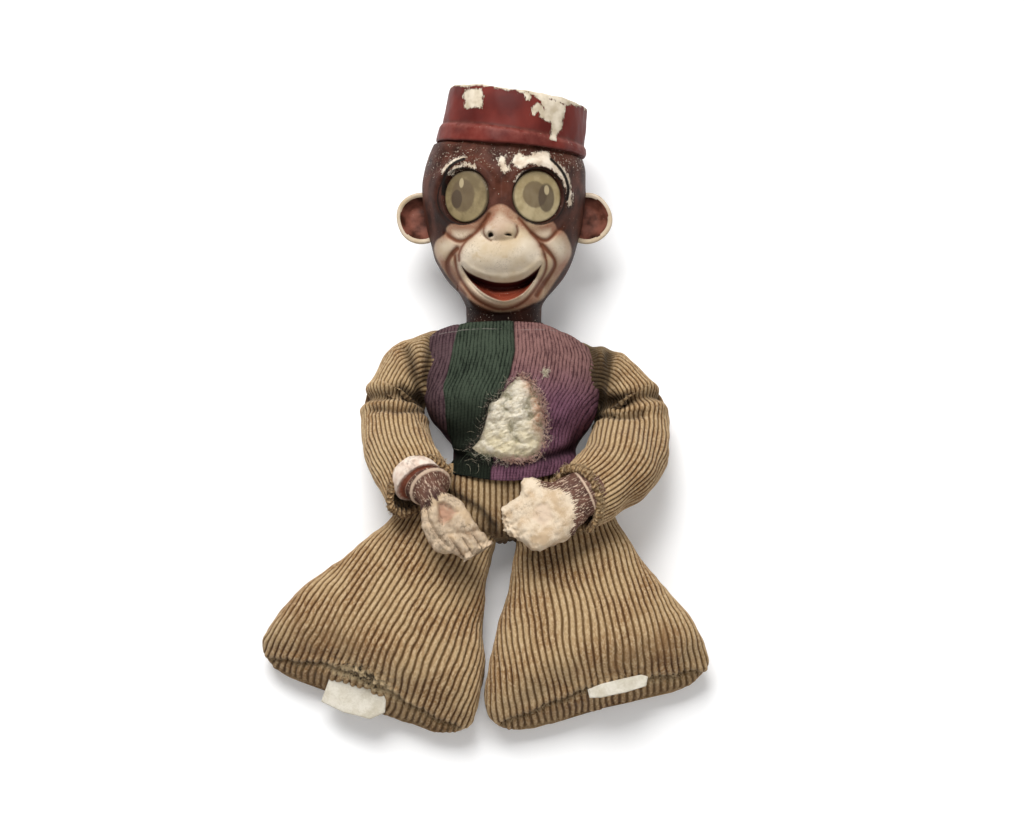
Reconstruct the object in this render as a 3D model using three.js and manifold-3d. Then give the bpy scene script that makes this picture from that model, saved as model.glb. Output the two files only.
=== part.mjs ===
// A stuffed monkey doll lying on its back: knit body, corduroy limbs, cast head and hands, round eyes.
// Millimetres. +X is the doll's left, +Y runs towards its head and +Z up from the surface it lies on.
// The origin is the middle of the flat face under its back.
import * as THREE from 'three';
import { mergeVertices } from 'three/addons/utils/BufferGeometryUtils.js';
import Module from 'manifold-3d';

const wasm = await Module();
wasm.setup();

// Cloth and clearances
const cloth = 1.6;
const gap = 0.3;
const stuffingInset = cloth + gap;
const seamShare = 0.05;
const turningGap = 0.5;
const pressedFlat = 0.5;

// Body
const bodyShift = 3;
const bodyMiddle = 27;
const bodyBack = 27;
const chestHalf = 43;
const chestFront = 30;
const waistHalf = 31;
const waistFront = 21;
const neckY = 40;
const collarY = 30;
const waistY = -25;
const hemY = -41;
const crotchY = -71;
const seatHalf = 38;
const seatFront = 14;

// Seams of the knit, in degrees round the body from its left side over the front
const frontSeam = 90;
const stripSeam = 135;
const sideSeam = 15;

// Shoulders and arms
const shoulderOut = 52.5;
const shoulderY = 13.5;
const shoulderZ = 20;
const shoulderBall = 15.6;
const rightArmHalf = 16.2;
const leftArmHalf = 18.4;
const cuffHalf = 15.8;

// Hands
const shankRadius = 6;
const shankLength = 13;
const wristFlangeRadius = 13.2;
const wristFlange = 3;
const wristGrooveRadius = 11;
const wristGroove = 3;
const wristRingRadius = 12;
const wristRing = 3.5;
const wristRun = 4;
const wristEdge = 0.5;
const wristWaistRadius = 7;
const palmLength = 31;
const rightPalmHalf = 14.5;
const leftPalmHalf = 17;
const palmThick = 13;

// Legs
const hipX = 31;
const hipY = -67;
const legCap = 25;
const legLength = 84;
const legEndHalf = 54.5;
const legCornerAt = 74;
const legCornerIn = 14;
const legMiddle = 20;
const lapHeight = 38;
const legHeight = 44;
const rightSplay = 27;
const leftSplay = 11;

// Foot tabs
const tabWidth = 31;
const tabThick = 2;
const tabSewnIn = 8;
const rightTabOut = 15;
const leftTabOut = 4.5;

// Head, in a frame of its own: X across, Y up the head, Z out of the face
const headX = -1;
const headY = 43.6;
const headZ = 27;
const headPitch = 15;
const headWall = 3;
const faceHalf = 41.6;
const faceFront = 38.5;
const headBack = 40;
const neckRadius = 19;
const neckBore = 12.6;
const neckGrooveRadius = 15.4;
const neckGroove = 5;
const neckFlange = 3;
const earRadius = 12.8;
const earOut = 45.5;
const earUp = 50.5;
const earDeep = 6.5;
const earWall = 2.4;
const muzzleUp = 31;
const muzzleHalf = 22.5;
const noseUp = 43;
const chinUp = 15;

// Hat
const hatTilt = -9;
const hatBaseRadius = 37;
const hatTopRadius = 35.3;
const hatHeight = 29;
const hatBand = 9;
const hatBandOut = 1;
const hatWall = 3;
const hatStep = 0.6;
const hatBandSlope = 0.8;
const brimUp = 83;
const hatShift = 3;

// Eyes
const eyeRadius = 13;
const eyeSocketDeep = 5;
const eyeLedge = 2;
const lensThick = 2;
const lensCrown = 1.2;
const lensShoulder = [0.6, 0.7];
const printThick = 0.6;
const eyeX = 17.4;
const faceShift = -1;
const eyeY = 59;
const eyeZ = 34.5;
const eyeTurn = 24;

const finish = {
  paintedFace: [0xd9c6ad, 0.5],
  redPaint: [0x7d2a26, 0.45],
  eyeCard: [0xcfc08e, 0.7],
  eyeLens: [0xb5a873, 0.2],
  greenKnit: [0x2c3f33, 0.95],
  purpleKnit: [0x6e4a58, 0.95],
  dullKnit: [0x4c3540, 0.95],
  corduroy: [0x8c7350, 0.95],
  cotton: [0xcfc6ab, 1],
  cord: [0x2a201c, 0.9],
  tape: [0xd8d0bb, 0.8],
};

const doll = new THREE.Group();

const radians = THREE.MathUtils.degToRad;

function add(parent, name, geometry, [colour, roughness]) {
  const material = new THREE.MeshStandardMaterial({ color: colour, roughness, metalness: 0 });
  const mesh = new THREE.Mesh(geometry, material);
  mesh.name = name;
  parent.add(mesh);
}

// Solids: joining and cutting closed meshes
function merged(geometry) {
  const bare = geometry.index ? geometry.toNonIndexed() : geometry.clone();
  bare.deleteAttribute('normal');
  bare.deleteAttribute('uv');
  return mergeVertices(bare, 1e-4);
}

function toSolid(geometry) {
  const bare = merged(geometry);
  const points = bare.getAttribute('position').array;
  const mesh = new wasm.Mesh({ numProp: 3, vertProperties: points, triVerts: Uint32Array.from(bare.index.array) });
  return new wasm.Manifold(mesh);
}

function toGeometry(solid) {
  const mesh = solid.getMesh();
  const geometry = new THREE.BufferGeometry();
  geometry.setAttribute('position', new THREE.BufferAttribute(mesh.vertProperties, 3));
  geometry.setIndex(new THREE.BufferAttribute(mesh.triVerts, 1));
  return geometry;
}

// Facets are gathered corner by corner and turned to face out
class Facets {
  constructor() {
    this.corners = [];
  }

  triangle(a, b, c) {
    this.corners.push(a.x, a.y, a.z, b.x, b.y, b.z, c.x, c.y, c.z);
  }

  quad(a, b, c, d) {
    this.triangle(a, b, c);
    this.triangle(a, c, d);
  }

  // The same two triangles as quad, facing the other way
  back(a, b, c, d) {
    this.triangle(a, c, b);
    this.triangle(a, d, c);
  }

  // Joins rings of equal length into a skin
  skin(rings) {
    for (let i = 0; i + 1 < rings.length; i++) {
      const ring = rings[i];
      const next = rings[i + 1];
      for (let j = 0; j < ring.length; j++) {
        const k = (j + 1) % ring.length;
        this.quad(ring[j], next[j], next[k], ring[k]);
      }
    }
  }

  // Closes a ring with a fan round its middle
  lid(ring, last) {
    const middle = new THREE.Vector3();
    ring.forEach((point) => middle.addScaledVector(point, 1 / ring.length));
    for (let j = 0; j < ring.length; j++) {
      const k = (j + 1) % ring.length;
      if (last) this.triangle(middle, ring[k], ring[j]);
      else this.triangle(middle, ring[j], ring[k]);
    }
  }

  geometry() {
    let volume = 0;
    const a = new THREE.Vector3();
    const b = new THREE.Vector3();
    const c = new THREE.Vector3();
    for (let i = 0; i < this.corners.length; i += 9) {
      a.fromArray(this.corners, i);
      b.fromArray(this.corners, i + 3);
      c.fromArray(this.corners, i + 6);
      volume += a.dot(b.cross(c));
    }
    if (volume < 0) {
      const turned = [];
      for (let i = 0; i < this.corners.length; i += 9) {
        turned.push(...this.corners.slice(i, i + 3));
        turned.push(...this.corners.slice(i + 6, i + 9));
        turned.push(...this.corners.slice(i + 3, i + 6));
      }
      this.corners = turned;
    }
    const geometry = new THREE.BufferGeometry();
    geometry.setAttribute('position', new THREE.Float32BufferAttribute(this.corners, 3));
    return geometry;
  }
}

// A soft form is rings round a middle line, given by
//   stops: places along it, from its first end to its last
//   middle(s): the middle of the ring there, half(s): its half width
//   front(s) and back(s): its height above and below the middle
//   square: how square its section is, 2 for an ellipse, for the front and the back
//   turn: the degrees between two points of a ring
//   along: the direction all rings face, where that isn't the middle line's own
//   restsAt: the height at which the form is pressed flat, if it is
function ringPoint(form, s, degrees, inset) {
  const step = 0.01;
  const middle = form.middle(s);
  const along = form.along ?? form.middle(s + step).sub(form.middle(s - step)).normalize();
  const across = new THREE.Vector3(0, 0, 1).cross(along).normalize();
  const rise = along.clone().cross(across);
  const cosine = Math.cos(radians(degrees));
  const sine = Math.sin(radians(degrees));
  const power = 2 / (sine > 0 ? form.square[0] : form.square[1]);
  const width = Math.max(form.half(s) - inset, 0.5);
  const height = Math.max((sine > 0 ? form.front(s) : form.back(s)) - inset, 0.5);
  const point = middle
    .addScaledVector(across, width * Math.sign(cosine) * Math.abs(cosine) ** power)
    .addScaledVector(rise, height * Math.sign(sine) * Math.abs(sine) ** power);
  if (form.restsAt !== undefined) point.z = Math.max(point.z, form.restsAt);
  return point;
}

// Points along part of a ring, at whole steps of the form's own angle, drawn apart at the seams
function arc(form, s, from, to, inset, seam) {
  const points = [];
  const sides = Math.round((to - from) / form.turn);
  for (let j = 0; j <= sides; j++) {
    const point = ringPoint(form, s, from + form.turn * j, inset);
    if (j === 0) point.lerp(ringPoint(form, s, from + form.turn, inset), seam);
    if (j === sides) point.lerp(ringPoint(form, s, to - form.turn, inset), seam);
    points.push(point);
  }
  return points;
}

function fullRing(form, s, inset) {
  return arc(form, s, 0, 360, inset, 0).slice(0, -1);
}

// The form as one solid between two of its stops, drawn in by inset
function core(form, inset, stops = form.stops) {
  const facets = new Facets();
  const rings = stops.map((s) => fullRing(form, s, inset));
  facets.skin(rings);
  facets.lid(rings[0], false);
  facets.lid(rings[rings.length - 1], true);
  return facets.geometry();
}

// A cloth tube closed at its first end and open at its last
function sleeveShell(form, thick) {
  const outer = toSolid(core(form, 0));
  const last = form.stops[form.stops.length - 1];
  return toGeometry(outer.subtract(toSolid(core(form, thick, [...form.stops.slice(1), last + thick]))));
}

// A cloth panel over part of a form: between two stops and two angles, as thick as the cloth
function panel(form, stops, from, to, thick) {
  const facets = new Facets();
  const outer = stops.map((s) => arc(form, s, from, to, 0, seamShare));
  const inner = stops.map((s) => arc(form, s, from, to, thick, seamShare));
  const last = stops.length - 1;
  const side = outer[0].length - 1;
  for (let i = 0; i < last; i++) {
    for (let j = 0; j < side; j++) {
      facets.quad(outer[i][j], outer[i + 1][j], outer[i + 1][j + 1], outer[i][j + 1]);
      facets.back(inner[i][j], inner[i + 1][j], inner[i + 1][j + 1], inner[i][j + 1]);
    }
    facets.back(outer[i][0], outer[i + 1][0], inner[i + 1][0], inner[i][0]);
    facets.quad(outer[i][side], outer[i + 1][side], inner[i + 1][side], inner[i][side]);
  }
  for (let j = 0; j < side; j++) {
    facets.quad(outer[0][j], outer[0][j + 1], inner[0][j + 1], inner[0][j]);
    facets.back(outer[last][j], outer[last][j + 1], inner[last][j + 1], inner[last][j]);
  }
  return facets.geometry();
}

// A value that changes evenly between the given places
function between(places, values) {
  return (s) => {
    const next = places.findIndex((place) => place > s);
    if (next === 0) return values[0];
    if (next < 0) return values[values.length - 1];
    const share = (s - places[next - 1]) / (places[next] - places[next - 1]);
    return THREE.MathUtils.lerp(values[next - 1], values[next], share);
  };
}

// A closed turned shape round Y, from its profile of radius and height
function turned(profile, sides) {
  const points = profile.map(([radius, height]) => new THREE.Vector2(radius, height));
  if (THREE.ShapeUtils.area(points) < 0) points.reverse();
  return new THREE.LatheGeometry(points, sides);
}

function ball(radius, at, stretch = [1, 1, 1]) {
  return new THREE.SphereGeometry(radius, 18, 12).scale(...stretch).translate(...at);
}

// The body: s runs from the neck down to the crotch, against Y
const torsoPlaces = [
  -neckY,
  -neckY + 3,
  -collarY - 3,
  -collarY + 6,
  -collarY + 17,
  -5,
  8,
  17,
  -waistY,
  -hemY - 8,
  -hemY,
  -hemY + 8,
  -crotchY - 16,
  -crotchY - 6,
  -crotchY,
];
const torsoHalf = between(torsoPlaces, [
  neckRadius + 3,
  chestHalf - 11,
  chestHalf - 4,
  chestHalf - 1,
  chestHalf,
  chestHalf,
  chestHalf - 4,
  chestHalf - 9,
  waistHalf,
  waistHalf + 1,
  seatHalf - 2,
  seatHalf,
  seatHalf - 8,
  seatHalf - 22,
  6,
]);
const torsoFront = between(torsoPlaces, [
  18,
  21,
  24,
  27,
  chestFront - 1,
  chestFront,
  chestFront,
  chestFront - 4,
  waistFront,
  waistFront - 1,
  seatFront + 4,
  seatFront,
  seatFront - 3,
  seatFront - 6,
  2,
]);
const torsoBack = between(torsoPlaces, [
  17,
  21,
  25,
  bodyBack,
  bodyBack + pressedFlat,
  bodyBack + pressedFlat,
  bodyBack + pressedFlat,
  bodyBack + pressedFlat,
  bodyBack + pressedFlat,
  bodyBack + pressedFlat,
  bodyBack + pressedFlat,
  bodyBack + pressedFlat,
  bodyBack,
  bodyBack - 5,
  14,
]);
const shift = between([-neckY, -collarY, -waistY, -crotchY], [headX, bodyShift, bodyShift, 0]);
const torso = {
  stops: torsoPlaces,
  middle: (s) => new THREE.Vector3(shift(s), -s, bodyMiddle),
  along: new THREE.Vector3(0, -1, 0),
  half: torsoHalf,
  front: torsoFront,
  back: torsoBack,
  square: [2.3, 3.6],
  turn: 15,
  restsAt: 0,
};

// The knit gathered in the neck groove, and the cord that ties it there
const bandInner = neckGrooveRadius + turningGap;
const bandOuter = bandInner + cloth;
const bandLow = -neckGroove + turningGap;
const bandHigh = -turningGap;
const cordRadius = 0.7;
const tieRadius = bandOuter + gap + cordRadius;

// What the body makes room for: the arm balls, the leg caps and the neck
const headPlace = new THREE.Matrix4().compose(
  new THREE.Vector3(headX, headY, headZ),
  new THREE.Quaternion().setFromAxisAngle(new THREE.Vector3(1, 0, 0), radians(headPitch)),
  new THREE.Vector3(1, 1, 1),
);
const tall = 200;
const rooms = [];
for (const side of [-1, 1]) {
  rooms.push(ball(shoulderBall + turningGap, [bodyShift + side * shoulderOut, shoulderY, shoulderZ]));
  const legRoom = new THREE.CylinderGeometry(legCap + turningGap, legCap + turningGap, tall, 40);
  rooms.push(legRoom.rotateX(Math.PI / 2).translate(side * hipX, hipY, 0));
}
const neckDeep = neckGroove + neckFlange + 2;
const neckRoomRadius = Math.max(tieRadius + cordRadius, neckRadius) + 2 * gap;
const neckFlare = 25;
const neckRoom = turned(
  [
    [0, -neckDeep],
    [neckRoomRadius, -neckDeep],
    [neckRoomRadius, 0],
    [neckRoomRadius + neckFlare / 2, neckFlare],
    [0, neckFlare],
  ],
  32,
);
rooms.push(neckRoom.applyMatrix4(headPlace));

function withRoom(geometry, cutters) {
  let solid = toSolid(geometry);
  for (const cutter of cutters) solid = solid.subtract(toSolid(cutter));
  return toGeometry(solid);
}

// The tear in the front panels, where the stuffing comes out
const tear = [[6, 5], [-6, -6], [-11, -20], [-16, -27], [-12, -33], [0, -36], [16, -32], [18, -24], [14, -6], [11, 3]];

function tearPrism(inset, low, high) {
  const middle = [2, -17];
  const drawn = tear.map(([x, y]) => {
    const reach = Math.hypot(x - middle[0], y - middle[1]);
    const share = (reach - inset) / reach;
    return new THREE.Vector2(middle[0] + (x - middle[0]) * share, middle[1] + (y - middle[1]) * share);
  });
  const prism = new THREE.ExtrudeGeometry(new THREE.Shape(drawn), { depth: high - low, bevelEnabled: false });
  return prism.translate(0, 0, low);
}

const hemStop = torsoPlaces.indexOf(-hemY);
const sweaterStops = torsoPlaces.slice(0, hemStop + 1);
const seatStops = torsoPlaces.slice(hemStop);
seatStops[0] += gap;
const overFront = 100;
const sweaterPanels = [
  ['sweater_purple', -sideSeam, frontSeam, finish.purpleKnit, [tearPrism(0, bodyMiddle, overFront)]],
  ['sweater_green', frontSeam, stripSeam, finish.greenKnit, [tearPrism(0, bodyMiddle, overFront)]],
  ['sweater_side', stripSeam, 180 + sideSeam, finish.dullKnit, []],
  ['sweater_back', 180 + sideSeam, 360 - sideSeam, finish.dullKnit, []],
];
for (const [name, from, to, look, cuts] of sweaterPanels) {
  add(doll, name, withRoom(panel(torso, sweaterStops, from, to, cloth), [...rooms, ...cuts]), look);
}
add(doll, 'seat_front', withRoom(panel(torso, seatStops, 0, 180, cloth), rooms), finish.corduroy);
add(doll, 'seat_back', withRoom(panel(torso, seatStops, 180, 360, cloth), rooms), finish.corduroy);

let stuffing = toSolid(core(torso, stuffingInset, torsoPlaces.slice(1, -1)));
const tuft = toSolid(core(torso, 0)).intersect(toSolid(tearPrism(2 * gap, bodyMiddle, overFront)));
stuffing = stuffing.add(tuft);
for (const room of rooms) stuffing = stuffing.subtract(toSolid(room));
add(doll, 'torso_stuffing', toGeometry(stuffing), finish.cotton);

// The head group: cast head, hat, eyes, and the gathered knit in its neck groove
const head = new THREE.Group();
headPlace.decompose(head.position, head.quaternion, head.scale);
doll.add(head);

// Here s runs from the crown down to the neck, against the head's Y
const headPlaces = [-98, -88, -78, -66, -50, -40, -32, -24, -16, -9, 0];
const crownLean = between([-brimUp, -eyeY], [hatShift - 0.5, 0]);
// Shares of the widest place from the crown down, and then the neck
const swell = (most, shares) => [...shares.map((share) => share * most), neckRadius + 1, neckRadius];
const headForm = {
  stops: headPlaces,
  middle: (s) => new THREE.Vector3(crownLean(s), -s, 0),
  along: new THREE.Vector3(0, -1, 0),
  half: between(headPlaces, swell(faceHalf, [0.79, 0.89, 0.96, 1, 0.98, 0.91, 0.84, 0.73, 0.59])),
  front: between(headPlaces, swell(faceFront, [0.81, 0.91, 0.95, 0.96, 0.99, 1, 0.97, 0.88, 0.73])),
  back: between(headPlaces, swell(headBack, [0.82, 0.92, 0.97, 1, 0.97, 0.92, 0.86, 0.77, 0.65])),
  square: [2.1, 2],
  turn: 15,
};

const ears = [-1, 1].map((side) => {
  const dish = turned(
    [
      [0, -earDeep],
      [earRadius - 4, 1 - earDeep],
      [earRadius, -earWall],
      [earRadius, 0],
      [earRadius - earWall / 2, 0.7],
      [earRadius - earWall, 0],
      [earRadius - 6, 1 + earWall - earDeep],
      [0, earWall - earDeep],
    ],
    20,
  );
  return dish.rotateX(Math.PI / 2).translate(side * earOut, earUp, 0);
});

let headSolid = toSolid(core(headForm, 0));
for (const ear of ears) headSolid = headSolid.add(toSolid(ear));
const muzzle = ball(1, [faceShift, muzzleUp, 23], [muzzleHalf, 14.5, 20.5]);
const nose = ball(1, [faceShift, noseUp, 37], [9, 6, 6.5]);
const chin = ball(1, [faceShift, chinUp, 19], [17, 10, 15]);
for (const lump of [muzzle, nose, chin]) headSolid = headSolid.add(toSolid(lump));
const neckRing = turned(
  [
    [0, -neckGroove - neckFlange],
    [neckRadius, -neckGroove - neckFlange],
    [neckRadius, -neckGroove],
    [neckGrooveRadius, -neckGroove],
    [neckGrooveRadius, 1],
    [0, 1],
  ],
  28,
);
headSolid = headSolid.add(toSolid(neckRing));
headSolid = headSolid.subtract(toSolid(core(headForm, headWall, [...headPlaces.slice(0, -1), -headWall])));
const neckHole = turned([[0, -20], [neckBore, -20], [neckBore, 14], [0, 14]], 24);
headSolid = headSolid.subtract(toSolid(neckHole));

// The hat stands on the cut crown, tilted to one side
const hat = new THREE.Group();
hat.position.set(hatShift, brimUp, 0);
hat.rotation.z = radians(hatTilt);
hat.updateMatrix();
head.add(hat);
const aboveBrim = new THREE.BoxGeometry(tall, tall, tall).translate(0, tall / 2, 0).applyMatrix4(hat.matrix);
headSolid = headSolid.subtract(toSolid(aboveBrim));
const hatProfile = [
  [0, hatHeight],
  [hatTopRadius - 1, hatHeight],
  [hatTopRadius, hatHeight - 1],
  [hatBaseRadius - hatStep, hatBand + gap],
  [hatBaseRadius - hatStep + hatBandOut, hatBand - hatBandSlope],
  [hatBaseRadius + hatBandOut, gap],
  [hatBaseRadius - hatWall, gap],
  [hatTopRadius - hatWall, hatHeight - hatWall],
  [0, hatHeight - hatWall],
];
add(hat, 'hat', turned(hatProfile, 32), finish.redPaint);

// Eyes: a counterbored hole, with the printed card on its ledge and the lens over it
const eyeHole = turned(
  [
    [0, -20],
    [eyeRadius - eyeLedge, -20],
    [eyeRadius - eyeLedge, -eyeSocketDeep],
    [eyeRadius + gap, -eyeSocketDeep],
    [eyeRadius + gap, 20],
    [0, 20],
  ],
  24,
);
for (const [side, word] of [[-1, 'right'], [1, 'left']]) {
  const eye = new THREE.Group();
  eye.position.set(faceShift + side * eyeX, eyeY, eyeZ);
  eye.quaternion
    .setFromAxisAngle(new THREE.Vector3(0, 1, 0), radians(side * eyeTurn))
    .multiply(new THREE.Quaternion().setFromAxisAngle(new THREE.Vector3(1, 0, 0), Math.PI / 2));
  eye.updateMatrix();
  head.add(eye);
  headSolid = headSolid.subtract(toSolid(eyeHole.clone().applyMatrix4(eye.matrix)));
  const printLow = -eyeSocketDeep + gap;
  const lensLow = printLow + printThick + gap;
  const print = turned([[0, printLow], [eyeRadius, printLow], [eyeRadius, printLow + printThick], [0, printLow + printThick]], 24);
  const lens = turned(
    [
      [0, lensLow],
      [eyeRadius, lensLow],
      [eyeRadius, lensLow + lensThick],
      [eyeRadius * lensShoulder[0], lensLow + lensThick + lensCrown * lensShoulder[1]],
      [0, lensLow + lensThick + lensCrown],
    ],
    24,
  );
  add(eye, `eye_print_${word}`, print, finish.eyeCard);
  add(eye, `eye_lens_${word}`, lens, finish.eyeLens);
}
add(head, 'head_shell', toGeometry(headSolid), finish.paintedFace);

// The knit gathered into the neck groove, and the cord round it
add(
  head,
  'neckband',
  turned([[bandInner, bandLow], [bandOuter, bandLow], [bandOuter, bandHigh], [bandInner, bandHigh], [bandInner, bandLow]], 28),
  finish.greenKnit,
);
const tie = new THREE.TorusGeometry(tieRadius, cordRadius, 6, 24).rotateX(Math.PI / 2);
add(head, 'neck_tie', tie.translate(0, (bandLow + bandHigh) / 2, 0), finish.cord);

// Arms: each sleeve starts as a ball in the body's socket and ends in an open cuff on the lap
const arms = [
  {
    word: 'right',
    half: rightArmHalf,
    palmHalf: rightPalmHalf,
    line: [[0, 0, 0], [-9, -14, -3], [-9, -29, -0.5], [-4.5, -44, 13], [0.5, -55, 30], [6, -63.5, 36]],
  },
  {
    word: 'left',
    half: leftArmHalf,
    palmHalf: leftPalmHalf,
    line: [[0, 0, 0], [10, -14, -2], [9.5, -31, 1], [4, -46, 14], [-6, -60, 31], [-20, -67.5, 36.5]],
  },
];
for (const { word, half, palmHalf, line } of arms) {
  const side = word === 'right' ? -1 : 1;
  const shoulder = new THREE.Group();
  shoulder.position.set(bodyShift + side * shoulderOut, shoulderY, shoulderZ);
  doll.add(shoulder);
  const curve = new THREE.CatmullRomCurve3(line.map((point) => new THREE.Vector3(...point)));
  const length = curve.getLength();
  const start = curve.getPoint(0);
  const startAlong = curve.getTangent(0);
  const middle = (s) => {
    if (s < 0) return start.clone().addScaledVector(startAlong, s);
    if (s > length) return curve.getPoint(1).addScaledVector(curve.getTangent(1), s - length);
    return curve.getPointAt(s / length);
  };
  const ballStops = [-0.97, -0.86, -0.6, -0.25].map((share) => share * shoulderBall);
  const stops = [...ballStops, 0, ...[0.16, 0.34, 0.5, 0.67, 0.84, 0.97, 1].map((share) => share * length)];
  const roundHalf = (s) => Math.sqrt(Math.max(shoulderBall ** 2 - Math.min(s, 0) ** 2, 1));
  const wider = half - shoulderBall;
  const spread = between([0.1 * length, 0.4 * length, 0.7 * length, length], [0, wider, wider, cuffHalf - shoulderBall]);
  const sleeve = {
    stops,
    middle,
    half: (s) => roundHalf(s) + spread(s),
    front: (s) => roundHalf(s) + spread(s) * 0.3,
    back: (s) => roundHalf(s) + spread(s) * 0.3,
    square: [2, 2],
    turn: 22.5,
    restsAt: -shoulderZ,
  };
  add(shoulder, `sleeve_${word}`, sleeveShell(sleeve, cloth), finish.corduroy);

  // The hand lies palm up on the lap, its shank in the end of the stuffing
  const hand = new THREE.Group();
  const end = curve.getPoint(1);
  const endAlong = curve.getTangent(1);
  endAlong.z = 0;
  endAlong.normalize();
  const reach = 2;
  const handAt = end.clone().addScaledVector(endAlong, reach);
  hand.position.copy(handAt);
  const frameZ = endAlong.clone().negate();
  const up = new THREE.Vector3(0, 0, 1);
  hand.quaternion.setFromRotationMatrix(new THREE.Matrix4().makeBasis(up.clone().cross(frameZ).negate(), frameZ, up));
  hand.updateMatrix();
  shoulder.add(hand);
  const shankRoom = turned([[0, -2], [shankRadius + turningGap, -2], [shankRadius + turningGap, shankLength + 2], [0, shankLength + 2]], 20);
  const fill = core(sleeve, stuffingInset, stops.slice(1, -1));
  const flangeRoom = turned([[0, -tall], [tall, -tall], [tall, gap], [0, gap]], 12);
  const handRooms = [shankRoom, flangeRoom].map((room) => room.applyMatrix4(hand.matrix));
  add(shoulder, `arm_stuffing_${word}`, withRoom(fill, handRooms), finish.cotton);
  const grooveEnd = -wristFlange - wristGroove;
  const ringEnd = grooveEnd - wristRing;
  const wrist = turned(
    [
      [0, shankLength],
      [shankRadius, shankLength],
      [shankRadius, 0],
      [wristFlangeRadius, 0],
      [wristFlangeRadius, -wristFlange],
      [wristGrooveRadius, -wristFlange - wristEdge],
      [wristGrooveRadius, grooveEnd],
      [wristRingRadius, grooveEnd - wristEdge],
      [wristRingRadius - 2 * wristEdge, ringEnd],
      [wristWaistRadius, ringEnd - wristRun],
      [0, ringEnd - wristRun],
    ],
    20,
  ).scale(1, 1, 0.8);
  const palmPlaces = [0, 3, 9, 17, 25, palmLength - 1, palmLength];
  const palm = {
    stops: palmPlaces,
    middle: (s) => new THREE.Vector3(0, ringEnd - s, 0),
    half: between(palmPlaces, [wristWaistRadius, 8, palmHalf - 2, palmHalf, palmHalf - 1, 9, 8]),
    front: between(palmPlaces, [5, 5.5, palmThick / 2, palmThick / 2, palmThick / 2 - 1, 4.5, 3.5]),
    back: between(palmPlaces, [5, 5.5, palmThick / 2, palmThick / 2, palmThick / 2, 5, 4]),
    square: [2.3, 2.3],
    turn: 22.5,
  };
  const handSolid = toSolid(wrist).add(toSolid(core(palm, 0)));
  add(hand, `hand_${word}`, toGeometry(handSolid), finish.paintedFace);
}

// Legs: wide bell shapes, each round at the hip and sewn flat at its end
const lapRise = lapHeight - legMiddle;
const legRise = legHeight - legMiddle;
const legDeep = legMiddle + pressedFlat;
const legRun = [-25, -24, -20, -12, 0, 30, 55, 68, 76, 81, legLength];
const legStops = [-24.4, -21, -13, 0, 15, 30, 46, 62, legCornerAt, 80, 83, legLength];
const legForm = {
  stops: legStops,
  middle: (s) => new THREE.Vector3(0, -s, legMiddle),
  half: (s) => {
    if (s < 0) return Math.sqrt(legCap ** 2 - s ** 2);
    const wide = legCap + ((legEndHalf - legCap) * Math.min(s, legCornerAt)) / legCornerAt;
    const corner = THREE.MathUtils.clamp((s - legCornerAt) / (legLength - legCornerAt), 0, 1);
    return wide - legCornerIn * (1 - Math.sqrt(1 - corner ** 2));
  },
  front: between(legRun, [2, 6, lapRise - 7, lapRise - 4, lapRise - 2, lapRise, legRise, legRise - 2, 16, 9, 3]),
  back: between(legRun, [2, 7, 14, 18, 20, legDeep, legDeep, legDeep, 18, 12, 4]),
  square: [2.3, 3.6],
  turn: 15,
  restsAt: 0,
};
const legs = [
  { word: 'right', side: -1, splay: rightSplay, tabOut: rightTabOut, tabAt: -4 },
  { word: 'left', side: 1, splay: leftSplay, tabOut: leftTabOut, tabAt: 8 },
];
for (const { word, side, splay, tabOut, tabAt } of legs) {
  const hip = new THREE.Group();
  hip.position.set(side * hipX, hipY, 0);
  hip.rotation.z = radians(side * splay);
  doll.add(hip);
  const tabLow = -legLength - tabOut;
  const tabHigh = -legLength + tabSewnIn;
  const slot = new THREE.BoxGeometry(tabWidth + 2 * gap, tabHigh - tabLow + gap, tabThick + 2 * gap);
  slot.translate(side * tabAt, (tabHigh + gap + tabLow) / 2, legMiddle);
  const tab = new THREE.BoxGeometry(tabWidth, tabHigh - tabLow, tabThick);
  tab.translate(side * tabAt, (tabHigh + tabLow) / 2, legMiddle);
  const frontPanel = panel(legForm, legStops, 0, 180, cloth);
  const backPanel = panel(legForm, legStops, 180, 360, cloth);
  add(hip, `leg_front_${word}`, withRoom(frontPanel, [slot]), finish.corduroy);
  add(hip, `leg_back_${word}`, withRoom(backPanel, [slot]), finish.corduroy);
  add(hip, `leg_stuffing_${word}`, withRoom(core(legForm, stuffingInset, legStops.slice(1, -1)), [slot]), finish.cotton);
  add(hip, `foot_tab_${word}`, tab, finish.tape);
}

export default doll;
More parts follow.
